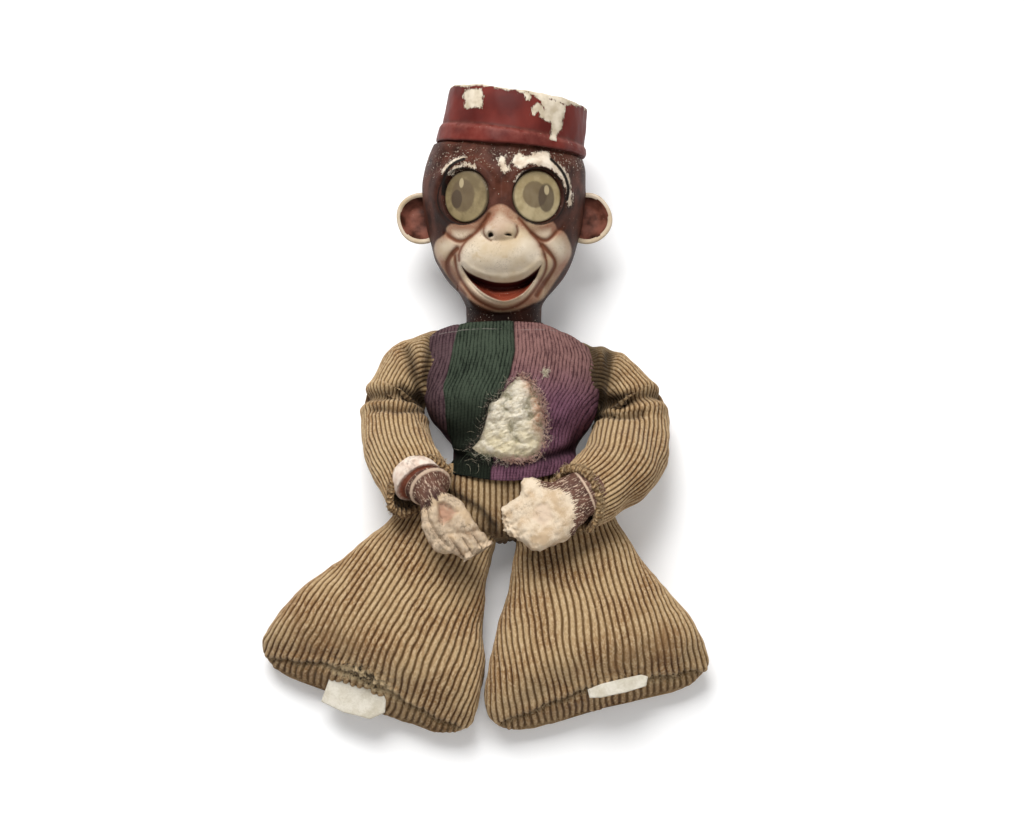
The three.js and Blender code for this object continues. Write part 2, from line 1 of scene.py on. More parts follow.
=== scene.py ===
# A worn stuffed monkey doll lying on its back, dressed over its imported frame.
# Its lengths are millimetres until a mesh is made. +X is the doll's left, +Y its head, +Z up.
# The camera, the floor and the lamps are placed in metres.
import bmesh
import bpy
import numpy as np
from math import radians, cos, sin, pi
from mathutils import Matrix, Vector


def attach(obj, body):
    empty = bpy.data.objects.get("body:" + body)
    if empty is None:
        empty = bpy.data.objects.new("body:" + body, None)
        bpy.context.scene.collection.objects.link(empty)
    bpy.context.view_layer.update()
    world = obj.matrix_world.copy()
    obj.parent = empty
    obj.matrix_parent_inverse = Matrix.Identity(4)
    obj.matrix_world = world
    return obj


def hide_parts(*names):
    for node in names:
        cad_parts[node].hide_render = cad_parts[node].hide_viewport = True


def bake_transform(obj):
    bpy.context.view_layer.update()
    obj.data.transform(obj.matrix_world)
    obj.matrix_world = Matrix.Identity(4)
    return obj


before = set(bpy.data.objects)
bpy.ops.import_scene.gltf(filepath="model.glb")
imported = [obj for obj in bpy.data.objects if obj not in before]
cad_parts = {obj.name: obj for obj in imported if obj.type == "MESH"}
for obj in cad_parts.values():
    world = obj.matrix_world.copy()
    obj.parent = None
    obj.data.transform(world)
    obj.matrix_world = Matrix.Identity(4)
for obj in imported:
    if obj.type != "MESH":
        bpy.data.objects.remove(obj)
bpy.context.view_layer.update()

MM = 0.001
RIGHT = "right"
LEFT = "left"
X_WAY, Y_WAY, Z_WAY = np.eye(3)
# A distance at which no mark shows, and the least height of cloth over the floor
AWAY = 30
FLOOR_GAP = 0.25


# Camera: square on to the tilted face, 15 degrees from the vertical
view = bpy.data.objects.new("camera", bpy.data.cameras.new("camera"))
bpy.context.collection.objects.link(view)
view.location = (0.003, -0.3154, 1.1889)
view.rotation_euler = (radians(15), 0, 0)
view.data.lens = 84.375
view.data.sensor_width = 36
bpy.context.scene.camera = view
bpy.context.scene.view_settings.view_transform = "Standard"


# Numbers, outlines and waves
def ease(low, high, x):
    t = np.clip((x - low) / (high - low), 0, 1)
    return t * t * (3 - 2 * t)


def bell(x, width):
    return np.exp(-((x / width) ** 2))


def unit(ways):
    """The same directions, each with a length of 1."""
    return ways / np.maximum(np.linalg.norm(ways, axis=-1, keepdims=True), 1e-9)


def curve(places, values):
    """A smooth run of values through the given places."""
    places, values = np.array(places, float), np.array(values, float)
    steps = np.diff(values) / np.diff(places)
    slopes = np.concatenate(([steps[0]], (steps[1:] + steps[:-1]) / 2, [steps[-1]]))
    slopes[1:-1][steps[1:] * steps[:-1] <= 0] = 0

    def at(s):
        s = np.clip(s, places[0], places[-1])
        i = np.clip(np.searchsorted(places, s, side="right") - 1, 0, len(places) - 2)
        wide = places[i + 1] - places[i]
        t = (s - places[i]) / wide
        a, b = slopes[i] * wide, slopes[i + 1] * wide
        rise = values[i + 1] - values[i]
        return values[i] + t * (a + t * (3 * rise - 2 * a - b + t * (a + b - 2 * rise)))

    return at


def waves(points, size, seed, count=12):
    """Uneven swelling between about -1 and 1, in lumps as wide as size."""
    chance = np.random.default_rng(seed)
    ways = chance.normal(size=(count, points.shape[-1]))
    ways /= np.linalg.norm(ways, axis=1)[:, None]
    turns = 2 * pi / (size * chance.uniform(0.7, 1.7, count))
    starts = chance.uniform(0, 2 * pi, count)
    return np.sin((points @ ways.T) * turns + starts).sum(-1) / np.sqrt(count)


def to_line(x, y, line):
    """Distance from each point to a line of straight pieces."""
    near = np.full(np.shape(x), 1e9)
    for (ax, ay), (bx, by) in zip(line, line[1:]):
        dx, dy = bx - ax, by - ay
        t = np.clip(((x - ax) * dx + (y - ay) * dy) / (dx * dx + dy * dy), 0, 1)
        near = np.minimum(near, np.hypot(x - ax - t * dx, y - ay - t * dy))
    return near


def loop(outline):
    """A closed outline's points, with the first again at the end."""
    return np.array([*outline, outline[0]], float)


def to_shape(x, y, outline):
    """Distance to an outline, less than 0 inside it."""
    inside = np.zeros(np.shape(x), bool)
    closed = loop(outline)
    for (ax, ay), (bx, by) in zip(closed, closed[1:]):
        if ay == by:
            continue
        crosses = (ay > y) != (by > y)
        inside ^= crosses & (x < (bx - ax) * (y - ay) / (by - ay) + ax)
    return np.where(inside, -1, 1) * to_line(x, y, closed)


def rounded(line, closed=False, times=2):
    """The same line with its corners cut off a few times over."""
    for _ in range(times):
        pairs = zip(line, list(line[1:]) + [line[0]] if closed else line[1:])
        cut = [(ax * t + bx * (1 - t), ay * t + by * (1 - t))
               for (ax, ay), (bx, by) in pairs for t in (0.75, 0.25)]
        line = cut if closed else [line[0]] + cut[1:-1] + [line[-1]]
    return line


def least(values):
    return np.minimum.reduce(list(values))


def to_lines(x, y, lines):
    """Distance to the nearest of several lines with rounded corners."""
    return least(to_line(x, y, rounded(line)) for line in lines)


def line_at(line, y):
    """Where a line that runs up the cloth stands at each height."""
    heights, offsets = zip(*sorted((up, over) for over, up in line))
    return np.interp(y, heights, offsets)


def spaced(points, count):
    """The same path with its points spread evenly along it, and how far along each one is."""
    far = np.concatenate(([0], np.cumsum(np.linalg.norm(np.diff(points, axis=0), axis=1))))
    want = np.linspace(0, far[-1], count)
    return np.stack([np.interp(want, far, column) for column in points.T], axis=1), want


def even(points, count):
    return spaced(points, count)[0]


# Meshes made of rows of points
def outward(rows):
    """The way out of a closed form at each of its points."""
    over = np.roll(rows, -1, axis=1) - np.roll(rows, 1, axis=1)
    facing = unit(np.cross(over, np.gradient(rows, axis=0)))
    middle = rows.mean(axis=1, keepdims=True)
    return facing * np.sign(((rows - middle) * facing).sum())


def pushed(rows, push):
    """The rows moved out by push, or in where it is less than 0."""
    return rows + outward(rows) * push[..., None]


def rested(rows, gap=FLOOR_GAP):
    """Keeps the rows above the floor."""
    rows[..., 2] = np.maximum(rows[..., 2], gap)


def add_mesh(name, points, faces, marks):
    """A new object; marks are numbers kept at its points for the finish to read."""
    mesh = bpy.data.meshes.new(name)
    mesh.from_pydata((points * MM).tolist(), [], faces)
    for key, values in marks.items():
        single = values.ndim == 1
        layer = mesh.attributes.new(key, "FLOAT" if single else "FLOAT_VECTOR", "POINT")
        layer.data.foreach_set("value" if single else "vector", values.astype(np.float32).ravel())
    mesh.shade_smooth()
    made = bpy.data.objects.new(name, mesh)
    bpy.context.collection.objects.link(made)
    return made


def mesh_of(name, rows, ends, marks, place=None):
    """Closed rows of points as an object; ends says whether the first and last row are filled."""
    high, wide = rows.shape[:2]
    points = rows.reshape(-1, 3)
    index = np.arange(high * wide).reshape(high, wide)
    beside = np.roll(index, -1, axis=1)
    quads = np.stack([index[:-1], beside[:-1], beside[1:], index[1:]], axis=-1)
    faces = quads.reshape(-1, 4).tolist()
    keep = {"place": (rows if place is None else place).reshape(-1, 3)}
    for key, value in marks.items():
        keep[key] = np.broadcast_to(value, (high, wide)).reshape(-1)
    for end, row in zip(ends, (0, -1)):
        if end:
            rim = index[row]
            hub = len(points)
            points = np.vstack([points, rows[row].mean(axis=0)])
            keep = {key: np.concatenate([v, v[rim].mean(axis=0, keepdims=True)])
                    for key, v in keep.items()}
            faces += [[int(a), int(b), hub] for a, b in zip(rim, np.roll(rim, -1))]
    made = add_mesh(name, points, faces, keep)
    turn_out(made.data)
    return made


def turn_out(mesh):
    """Turns every face to the outside."""
    work = bmesh.new()
    work.from_mesh(mesh)
    bmesh.ops.recalc_face_normals(work, faces=work.faces)
    work.to_mesh(mesh)
    work.free()


def joined(pieces):
    """Several objects as one, under the first one's name."""
    with bpy.context.temp_override(active_object=pieces[0], selected_editable_objects=pieces):
        bpy.ops.object.join()
    return pieces[0]


def dress(made, finish, slot, body, *nodes):
    """Gives a piece its finish and body, and hides the nodes that it replaces; slot is not used."""
    made.data.materials.clear()
    made.data.materials.append(finish)
    if body:
        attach(made, body)
    if nodes:
        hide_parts(*nodes)


# Threads
def strands(name, paths, radius, finish, slot, body):
    """Loose threads as thin three-sided tubes, all in one mesh."""
    points, faces = [], []
    for path in map(np.asarray, paths):
        along = unit(np.gradient(path, axis=0))
        side = unit(np.cross(along, [0.3, 0.2, 1.0]))
        other = np.cross(along, side)
        base, count = len(points), len(path)
        for k in range(count):
            thin = radius * (1 - 0.6 * k / count)
            for turn in (0, 2.1, 4.2):
                points.append(path[k] + (side[k] * cos(turn) + other[k] * sin(turn)) * thin)
        for k in range(count - 1):
            for j in range(3):
                a, b = base + 3 * k + j, base + 3 * k + (j + 1) % 3
                faces.append([a, b, b + 3, a + 3])
    points = np.array(points)
    dress(add_mesh(name, points, faces, {"place": points}), finish, slot, body)


def curl(chance, start, way, length, bend, lift=0.4, steps=7):
    """A loose thread that wanders from its start."""
    way = unit(np.array(way, float))
    spot = np.array(start, float)
    path = [spot]
    for k in range(steps):
        way = way + chance.normal(size=3) * bend * [1, 1, 0.4]
        way[2] += (lift - way[2]) * 0.25 - 0.1 * k / steps
        way = unit(way)
        spot = spot + way * length / steps
        path.append(spot)
    return path


def fray(name, edge, ahead, count, long, seed, body):
    """Short threads that stand out all along an edge of corduroy, mostly ahead of it."""
    chance = np.random.default_rng(seed)
    middle = edge.mean(axis=0)
    paths = []
    for _ in range(count):
        spot = edge[chance.integers(0, len(edge))]
        spoke = unit(spot - middle)
        way = ahead * chance.normal(0.6, 0.5) + spoke * chance.normal(0.4, 0.4)
        way = way + chance.normal(size=3) * 0.4
        start = spot + spoke * chance.uniform(0, 1.4) + ahead * chance.uniform(-1.5, 1.5)
        paths.append(curl(chance, start, way, chance.uniform(0.4, 1) * long, 0.45, way[2]))
    strands(name, paths, 0.1, fibre_tan, "corduroy", body)


# Finishes
class Flow:
    """A number, colour or direction on its way through a tree of nodes."""

    def __init__(self, nodes, socket):
        self.nodes = nodes
        self.socket = socket

    def maths(self, operation, *values):
        return self.nodes.node("ShaderNodeMath", {"operation": operation}, values)

    def __add__(self, other):
        return self.maths("ADD", self, other)

    def __sub__(self, other):
        return self.maths("SUBTRACT", self, other)

    def __rsub__(self, other):
        return self.maths("SUBTRACT", other, self)

    def __mul__(self, other):
        return self.maths("MULTIPLY", self, other)

    def __truediv__(self, other):
        return self.maths("DIVIDE", self, other)

    __radd__ = __add__
    __rmul__ = __mul__

    def most(self, other):
        return self.maths("MAXIMUM", self, other)

    def size(self):
        return self.maths("ABSOLUTE", self)

    def wave(self):
        return self.maths("SINE", self)

    def power(self, other):
        return self.maths("POWER", self, other)


def paint(code):
    """A colour written as on screen, in the light the shader works in."""
    parts = [int(code[i:i + 2], 16) / 255 for i in (1, 3, 5)]
    return tuple(c / 12.92 if c <= 0.04045 else ((c + 0.055) / 1.055) ** 2.4 for c in parts) + (1,)


class Nodes:
    """A tree that gets its nodes one by one; a colour may be given as its code."""

    def __init__(self, tree):
        self.tree = tree

    def feed(self, socket, value):
        if isinstance(value, Flow):
            self.tree.links.new(value.socket, socket)
        else:
            socket.default_value = paint(value) if isinstance(value, str) else value

    def node(self, kind, settings, sockets, out=0):
        made = self.tree.nodes.new(kind)
        for key, value in settings.items():
            setattr(made, key, value)
        for key, value in sockets.items() if isinstance(sockets, dict) else enumerate(sockets):
            self.feed(made.inputs[key], value)
        return Flow(self, made.outputs[out])

    def ray(self, kind):
        """1 where the light is seen by this kind of ray."""
        return self.node("ShaderNodeLightPath", {}, {}, f"Is {kind} Ray")

    def mix(self, first, second, share):
        return self.node("ShaderNodeMix", {"data_type": "RGBA"}, {0: share, 6: first, 7: second}, 2)


class Finish(Nodes):
    """A material; surface() closes it."""

    def __init__(self, name):
        self.material = bpy.data.materials.new(name)
        self.material.use_nodes = True
        super().__init__(self.material.node_tree)
        self.shader = next(n for n in self.tree.nodes if n.type == "BSDF_PRINCIPLED")
        self.place = self.mark("place", "Vector")

    def mark(self, name, out="Fac"):
        return self.node("ShaderNodeAttribute", {"attribute_name": name}, {}, out)

    def noise(self, size, detail=2, rough=0.5, where=None):
        sockets = {"Vector": where or self.place, "Scale": 1 / size, "Detail": detail,
                   "Roughness": rough}
        return self.node("ShaderNodeTexNoise", {}, sockets)

    def stretched(self, x, y, z, turn=0.0):
        sockets = {"Vector": self.place, "Rotation": (0, 0, turn), "Scale": (x, y, z)}
        return self.node("ShaderNodeMapping", {}, sockets)

    def ramp(self, value, low, high):
        """0 below low, 1 above high, smooth between; low may be the greater."""
        sockets = {"Value": value, "From Min": low, "From Max": high}
        return self.node("ShaderNodeMapRange", {"interpolation_type": "SMOOTHSTEP"}, sockets)

    def bump(self, height, depth):
        sockets = {"Height": height, "Distance": depth * MM, "Strength": 1.0}
        return self.node("ShaderNodeBump", {}, sockets)

    def surface(self, colour, rough, **others):
        for key, value in {"Base Color": colour, "Roughness": rough, **others}.items():
            self.feed(self.shader.inputs[key.replace("_", " ")], value)
        return self.material


def painted(name):
    """Cast paint: brown, cream, mouth, lines and chips, each from its own mark."""
    f = Finish(name)
    ragged = (f.noise(2.2, 4, 0.65) - 0.5) * 2.2
    fine = (f.noise(0.8, 3, 0.7) - 0.5) * 1.2
    broad = f.noise(14, 3)
    brown = f.mix("#240e06", "#4a2618", f.ramp(broad + fine * 0.25, 0.3, 0.75))
    brown = f.mix(brown, "#7d4c3e", f.ramp(f.noise(7, 3), 0.25, 0.75) * f.mark("warm"))
    brown = f.mix(brown, "#1c0c08", f.mark("shade"))
    cream = f.mix("#bfab8c", "#d6c8b3", f.ramp(broad, 0.3, 0.7))
    cream = f.mix(cream, "#b59a72", f.ramp(f.noise(5, 4), 0.58, 0.78) * 0.5)
    grime = f.ramp(f.noise(0.9, 4, 0.8), 0.57, 0.69) * f.ramp(f.noise(8, 2), 0.46, 0.62)
    hairline = f.ramp((f.noise(3.5, 4, 0.75) - 0.5).size(), 0.012, 0.0)
    hairline = hairline * f.ramp(f.noise(7, 2), 0.5, 0.62)
    cream = f.mix(cream, "#6d5a42", grime.most(hairline) * 0.7)
    blush = f.mix(cream, "#8c5539", f.mark("blush") * f.ramp(broad + fine * 0.3, 0.1, 0.6) * 0.85)
    coat = f.mix(brown, blush, f.ramp(f.mark("cream") + ragged * 0.35, 0.7, -0.7))
    coat = f.mix(coat, "#673a25", f.ramp(f.mark("line") + fine * 0.4, 1.35, -0.1) * f.mark("lined"))
    gum = f.ramp(f.mark("gum") + fine * 0.8 + (broad - 0.5) * 6, 0.8, -2.6)
    mouth = f.mix("#3a0f0a", "#93452f", gum)
    coat = f.mix(coat, mouth, f.ramp(f.mark("mouth") + fine * 0.2, 0.2, -0.5))
    bare = f.mix("#bdaa93", "#e0d3c0", f.ramp(f.noise(4, 3), 0.3, 0.7))
    torn = (f.noise(2.0, 6, 0.85, f.stretched(1.5, 0.8, 1)) - 0.5) * 9
    chipped = f.ramp(f.mark("chip") + ragged * 0.5 + torn, 0.2, -0.1)
    specks = f.ramp(f.noise(1.0, 3, 0.7) + f.mark("worn") * 0.14, 0.72, 0.76)
    brushed = f.ramp(f.noise(1.4, 5, 0.75, f.stretched(1.6, 0.5, 1)), 0.62, 0.72)
    brushed = brushed * f.ramp(f.mark("worn"), 0.4, 0.9)
    coat = f.mix(coat, bare, chipped.most(specks).most(brushed))
    inked = f.ramp(f.mark("black") + fine * 0.6 + (torn - ragged) * 0.08, 0.35, -0.35)
    coat = f.mix(coat, "#17100c", inked)
    height = fine * 0.12 + f.noise(5, 3) * 0.3 - chipped * 0.35
    gloss = 0.42 + f.noise(6, 3) * 0.16 + chipped * 0.2
    return f.surface(coat, gloss + 0.08, Normal=f.bump(height, 0.5), Specular_IOR_Level=0.14)


def red_paint():
    f = Finish("red paint")
    ragged = (f.noise(2.4, 4, 0.65) - 0.5) * 2
    fine = (f.noise(0.7, 3, 0.7) - 0.5) * 1.2
    red = f.mix("#4f1813", "#6b261e", f.ramp(f.noise(16, 3), 0.3, 0.7))
    red = f.mix(red, "#4a2018", f.mark("shade"))
    # Painted highlight along the band's ridge, fainter over the rest of the band; the same mark places
    # worn specks
    red = f.mix(red, "#94564b", f.mark("ridge_highlight_and_wear") * f.ramp(f.noise(3, 3), 0.2, 0.8) * 0.6)
    bare = f.mix("#b7a88f", "#d9cdb9", f.ramp(f.noise(5, 3), 0.3, 0.7))
    torn = (f.noise(1.8, 6, 0.85, f.stretched(1.8, 0.6, 1)) - 0.5) * 6.5
    chipped = f.ramp(f.mark("chip") + ragged * 0.5 + torn, 0.2, -0.1)
    specks = f.ramp(f.noise(0.9, 4, 0.75), 0.66, 0.7) * f.ramp(f.mark("ridge_highlight_and_wear"), 0.5, 0.9)
    coat = f.mix(red, bare, chipped.most(specks))
    height = fine * 0.08 + f.noise(7, 2) * 0.3 - chipped * 0.4
    gloss = 0.36 + f.noise(8, 3) * 0.15 + chipped * 0.3
    return f.surface(coat, gloss + 0.12, Normal=f.bump(height, 0.5), Specular_IOR_Level=0.17)


def corduroy_finish():
    """Ribbed cloth: rib is 1 on a rib and 0 between, bald is rubbed smooth and soil is dirty."""
    f = Finish("corduroy")
    fuzz = f.noise(0.55, 4, 0.75)
    tuft = f.noise(1.0, 3, 0.7, f.stretched(1, 0.5, 1))
    patch = f.noise(19, 3, 0.55)
    stain = f.noise(11, 4, 0.6)
    bald = f.ramp(stain + f.mark("bald") * 0.2, 0.6, 0.9)
    rib = f.mark("rib") * (1 - bald * 0.4) + bald * 0.15
    share = f.ramp(rib + (fuzz - 0.5) * 0.7 + (tuft - 0.5) * 0.45, 0.12, 0.92)
    light = f.mix("#b3966f", "#96744e", f.ramp(patch, 0.35, 0.68))
    light = f.mix(light, "#87623f", f.mark("soil") * 0.75)
    dark = f.mix("#644c2f", "#523820", f.ramp(patch, 0.4, 0.6))
    base = f.mix(dark, light, share)
    # Painted highlights: pale flecks, most of them on the ribs
    rib_highlights = f.ramp(tuft + fuzz * 0.4 + f.mark("rib") * 0.25, 0.84, 1.1)
    base = f.mix(base, "#d0b792", rib_highlights * (1 - bald * 0.6) * 0.75)
    base = f.mix(base, "#7f5c3a", bald * 0.45)
    frayed = f.ramp(f.noise(0.9, 4, 0.8) + f.mark("worn") * 0.3, 0.66, 0.8) * f.mark("worn")
    base = f.mix(base, "#c9b48e", frayed * 0.8)
    # Holes worn through the cloth, painted dark for the shade inside them
    hole_shade = f.ramp(f.noise(3.4, 4, 0.75) + f.mark("hole") * 0.25, 0.72, 0.8)
    hole_shade = hole_shade * f.ramp(f.mark("hole"), 0.3, 0.7) * 0.85
    base = f.mix(base, "#1a130c", hole_shade)
    base = f.mix(base, "#2e2112", f.mark("shade"))
    return f.surface(base, 0.95, Normal=f.bump(fuzz * 0.7 + tuft, 0.4), Sheen_Weight=0.08,
                     Sheen_Roughness=0.5, Specular_IOR_Level=0.12)


def plain_cloth(name, dark, light, stain, grain=1.0):
    f = Finish(name)
    fuzz = f.noise(0.7 * grain, 4, 0.75)
    patch = f.noise(6 * grain, 4, 0.6)
    base = f.mix(dark, light, f.ramp(patch + (fuzz - 0.5) * 0.5, 0.3, 0.65))
    base = f.mix(base, stain, f.ramp(f.noise(9 * grain, 4, 0.65), 0.55, 0.75) * 0.5)
    # Painted shade where the shade mark is set, in the stain colour
    base = f.mix(base, stain, f.mark("shade"))
    return f.surface(base, 0.95, Normal=f.bump(fuzz, 0.35), Sheen_Weight=0.1, Specular_IOR_Level=0.15)


def cotton_wool():
    f = Finish("cotton wool")
    fuzz = f.noise(0.6, 5, 0.8)
    wisps = f.noise(2.4, 4, 0.7, f.stretched(0.6, 1.4, 1, 0.6))
    base = f.mix("#bfb297", "#e6decd", f.ramp(wisps + (fuzz - 0.5) * 0.5, 0.28, 0.66))
    base = f.mix(base, "#cfc097", f.mark("yellow") * f.ramp(f.noise(6, 3), 0.25, 0.6) * 0.6)
    base = f.mix(base, "#b98f74", f.mark("warm") * f.ramp(f.noise(1.8, 4, 0.8) + fuzz * 0.3, 0.4, 0.7))
    base = f.mix(base, "#6f6a50", f.mark("shade") * f.ramp(f.noise(3, 3), 0.2, 0.6))
    return f.surface(base, 1.0, Normal=f.bump(fuzz * 0.7 + wisps, 0.5), Specular_IOR_Level=0.05)


# Floor and light
FLOOR_REACH = 4
FLOOR_PALE = (0.93, 0.93, 0.93, 1)
FLOOR_GLOW = (0.12, 0.12, 0.12, 1)
NO_GLOW = (0, 0, 0, 1)
WHITE = (1, 1, 1, 1)
WORLD_LEVEL = 0.3
LAMP_AIM = (0, 0, 0.03)


def floor_finish():
    """Pale, and a little paler where the camera or a shiny piece sees it."""
    f = Finish("floor")
    seen = f.ray("Camera").most(f.ray("Glossy"))
    glow = f.mix(NO_GLOW, FLOOR_GLOW, seen)
    return f.surface(FLOOR_PALE, 1.0, Emission_Color=glow, Emission_Strength=1.0,
                     Specular_IOR_Level=0.0)


def make_floor():
    mesh = bpy.data.meshes.new("floor")
    corners = [(-1, -1), (1, -1), (1, 1), (-1, 1)]
    mesh.from_pydata([(x * FLOOR_REACH, y * FLOOR_REACH, 0) for x, y in corners], [], [(0, 1, 2, 3)])
    floor = bpy.data.objects.new("floor", mesh)
    bpy.context.collection.objects.link(floor)
    floor.data.materials.append(floor_finish())


def make_world():
    """Even light from all round; the camera and clear pieces see it white."""
    world = bpy.data.worlds.new("studio")
    bpy.context.scene.world = world
    world.use_nodes = True
    w = Nodes(world.node_tree)
    seen = w.ray("Camera").most(w.ray("Transmission"))
    level = w.node("ShaderNodeMapRange", {}, {"Value": seen, "To Min": WORLD_LEVEL, "To Max": 1.0})
    background = w.tree.nodes["Background"]
    w.feed(background.inputs["Color"], WHITE)
    w.feed(background.inputs["Strength"], level)


def lamp(name, place, size, power):
    """A soft lamp that looks at the middle of the doll."""
    light = bpy.data.lights.new(name, "AREA")
    light.size = size
    light.energy = power
    made = bpy.data.objects.new(name, light)
    bpy.context.collection.objects.link(made)
    made.location = place
    way = Vector(LAMP_AIM) - Vector(place)
    made.rotation_euler = way.to_track_quat("-Z", "Y").to_euler()


make_floor()
make_world()
lamp("key", (-0.2, 0.6, 1.15), size=0.75, power=19)
lamp("fill", (0.5, -0.8, 1.0), size=1.2, power=4)


# Sections are rounded boxes: power 1 is an ellipse, less is squarer
def section(width, top, low, square_top, square_low, fine):
    turn = np.linspace(0, pi, fine)
    c, s = np.cos(turn), np.sin(turn)
    over = np.stack([np.sign(c) * np.abs(c) ** square_top * width, np.abs(s) ** square_top * top],
                    axis=1)
    under = np.stack([-np.sign(c) * np.abs(c) ** square_low * width,
                      -np.abs(s) ** square_low * low], axis=1)
    return over, under


def lofted(stations, frame_at, over_count, under_count, fine=240):
    """Rows of sections along a form: frame_at gives middle, across, rise, width, top, low, squareness.
    Returns the points, how far each is from the middle of its half, and which are on the front."""
    rows, rounds = [], []
    for s in stations:
        middle, across, rise, width, top, low, square_top, square_low = frame_at(s)
        over, under = section(width, top, low, square_top, square_low, fine)
        over, far_over = spaced(over, over_count + 1)
        under, far_under = spaced(under, under_count + 1)
        flat = np.vstack([over[:-1], under[:-1]])
        rows.append(middle + flat[:, :1] * across + flat[:, 1:] * rise)
        rounds.append(np.concatenate([far[:-1] - far[-1] / 2 for far in (far_over, far_under)]))
    front = np.concatenate([np.ones(over_count, bool), np.zeros(under_count, bool)])
    return np.array(rows), np.array(rounds), front


KNIT_GROOVE = 0.36
WALE_GROOVE = 0.44


def ribs(phase, groove):
    """1 on a rib and 0 in the groove between two."""
    return ease(0.0, groove * 2.2, np.abs(np.sin(pi * phase)))


# The head's own frame
HEAD_AT = np.array([-1, 43.6, 27])
HEAD_TILT = radians(15)


def from_head(rows):
    """Points of the head's own frame in the doll's."""
    x, y, z = rows[..., 0], rows[..., 1], rows[..., 2]
    c, s = cos(HEAD_TILT), sin(HEAD_TILT)
    return np.stack([x, y * c - z * s, y * s + z * c], axis=-1) + HEAD_AT


# Body
SEAM_LINE = [(4, 40), (4, 31), (4.5, 18), (2, 6), (-0.4, 0.3), (-2.9, -5.8), (-5, -16), (-8, -46)]
STRIP_LINE = [(-22, 40), (-25, 28.4), (-31, 3), (-30, -10), (-28.7, -22.5), (-27, -46)]
TEAR = [(6.4, 5.1), (1, 0), (-2.9, -6.1), (-7.7, -8.6), (-10.2, -16.7), (-12.6, -23.8),
    (-17.4, -28.3), (-13.5, -32.3), (-0.4, -35.8), (11.7, -35.3), (17.1, -31.3), (18.8, -26),
    (19.2, -16.5), (17.2, -6.5), (12, 1.8)]
LINT = (19.2, 6.6)
WAIST = [(-34, -22), (-24, -30.5), (-6, -36.5), (8, -37.5), (18, -34), (26, -31.5), (32, -28),
    (37, -23)]
BODY_MIDDLE = 27
BODY_SQUARENESS = 0.88
HEM = 38.5
HEM_DROP = 7.0
KNIT_PITCH = 1.85
# Radius and height of the neckline's rings in the head's frame
NECKLINE = [(19.9, -3.6), (20.1, -2.9), (19.6, -2.4), (18.9, -2.8), (18.4, -5)]
body_right = curve([-40, -36, -34, -30, -22, -10, 4, 12, 20, 27, 34, 44],
    [-22, -31, -37, -40.5, -41, -40.5, -39.5, -34, -27.5, -26.5, -27.5, -34])
body_left = curve([-40, -35, -33, -30, -26, -18, -10, 4, 12, 20, 27, 34, 44],
    [20, 28, 32.5, 37.5, 42, 45.5, 46.5, 45.5, 41, 35.5, 34.5, 35.5, 38])
body_top = curve([-41, -37, -33, -26, -14, 2, 14, 24, 33, 42, 46],
    [19, 22, 24.5, 27, 29.5, 30.5, 28.5, 23.5, 21, 20, 18])
body_low = curve([-41, -37, -33, -26, -14, 2, 24, 46], [17, 21, 25, 26.9, 26.9, 26.9, 26.9, 26.9])


def body_frame(s):
    low_edge, high_edge = body_right(s), body_left(s)
    middle = np.array([(low_edge + high_edge) / 2, -s, BODY_MIDDLE])
    half = (high_edge - low_edge) / 2
    return middle, X_WAY, Z_WAY, half, body_top(s), body_low(s), BODY_SQUARENESS, 0.56


def collar_ring(ring, radius, up):
    """A ring of the neckline, point for point with a ring of the body."""
    turn = np.arctan2(ring[:, 2] - BODY_MIDDLE, ring[:, 0] - ring[:, 0].mean())
    flat = [radius * np.cos(turn), np.full_like(turn, up), radius * np.sin(turn)]
    return from_head(np.stack(flat, axis=1))


def make_collar(rows):
    """Rings that run from inside the neckline over its edge and down to the body's first ring."""
    first = rows[0]
    lift = first + (first - rows[8]) * 0.2
    inner = [collar_ring(first, *ring) for ring in NECKLINE]
    slope = [first * (1 - t) ** 2 + lift * 2 * t * (1 - t) + inner[0] * t * t
             for t in np.linspace(0, 1, 16)[1:-1]]
    return np.array(slope + inner)[::-1]


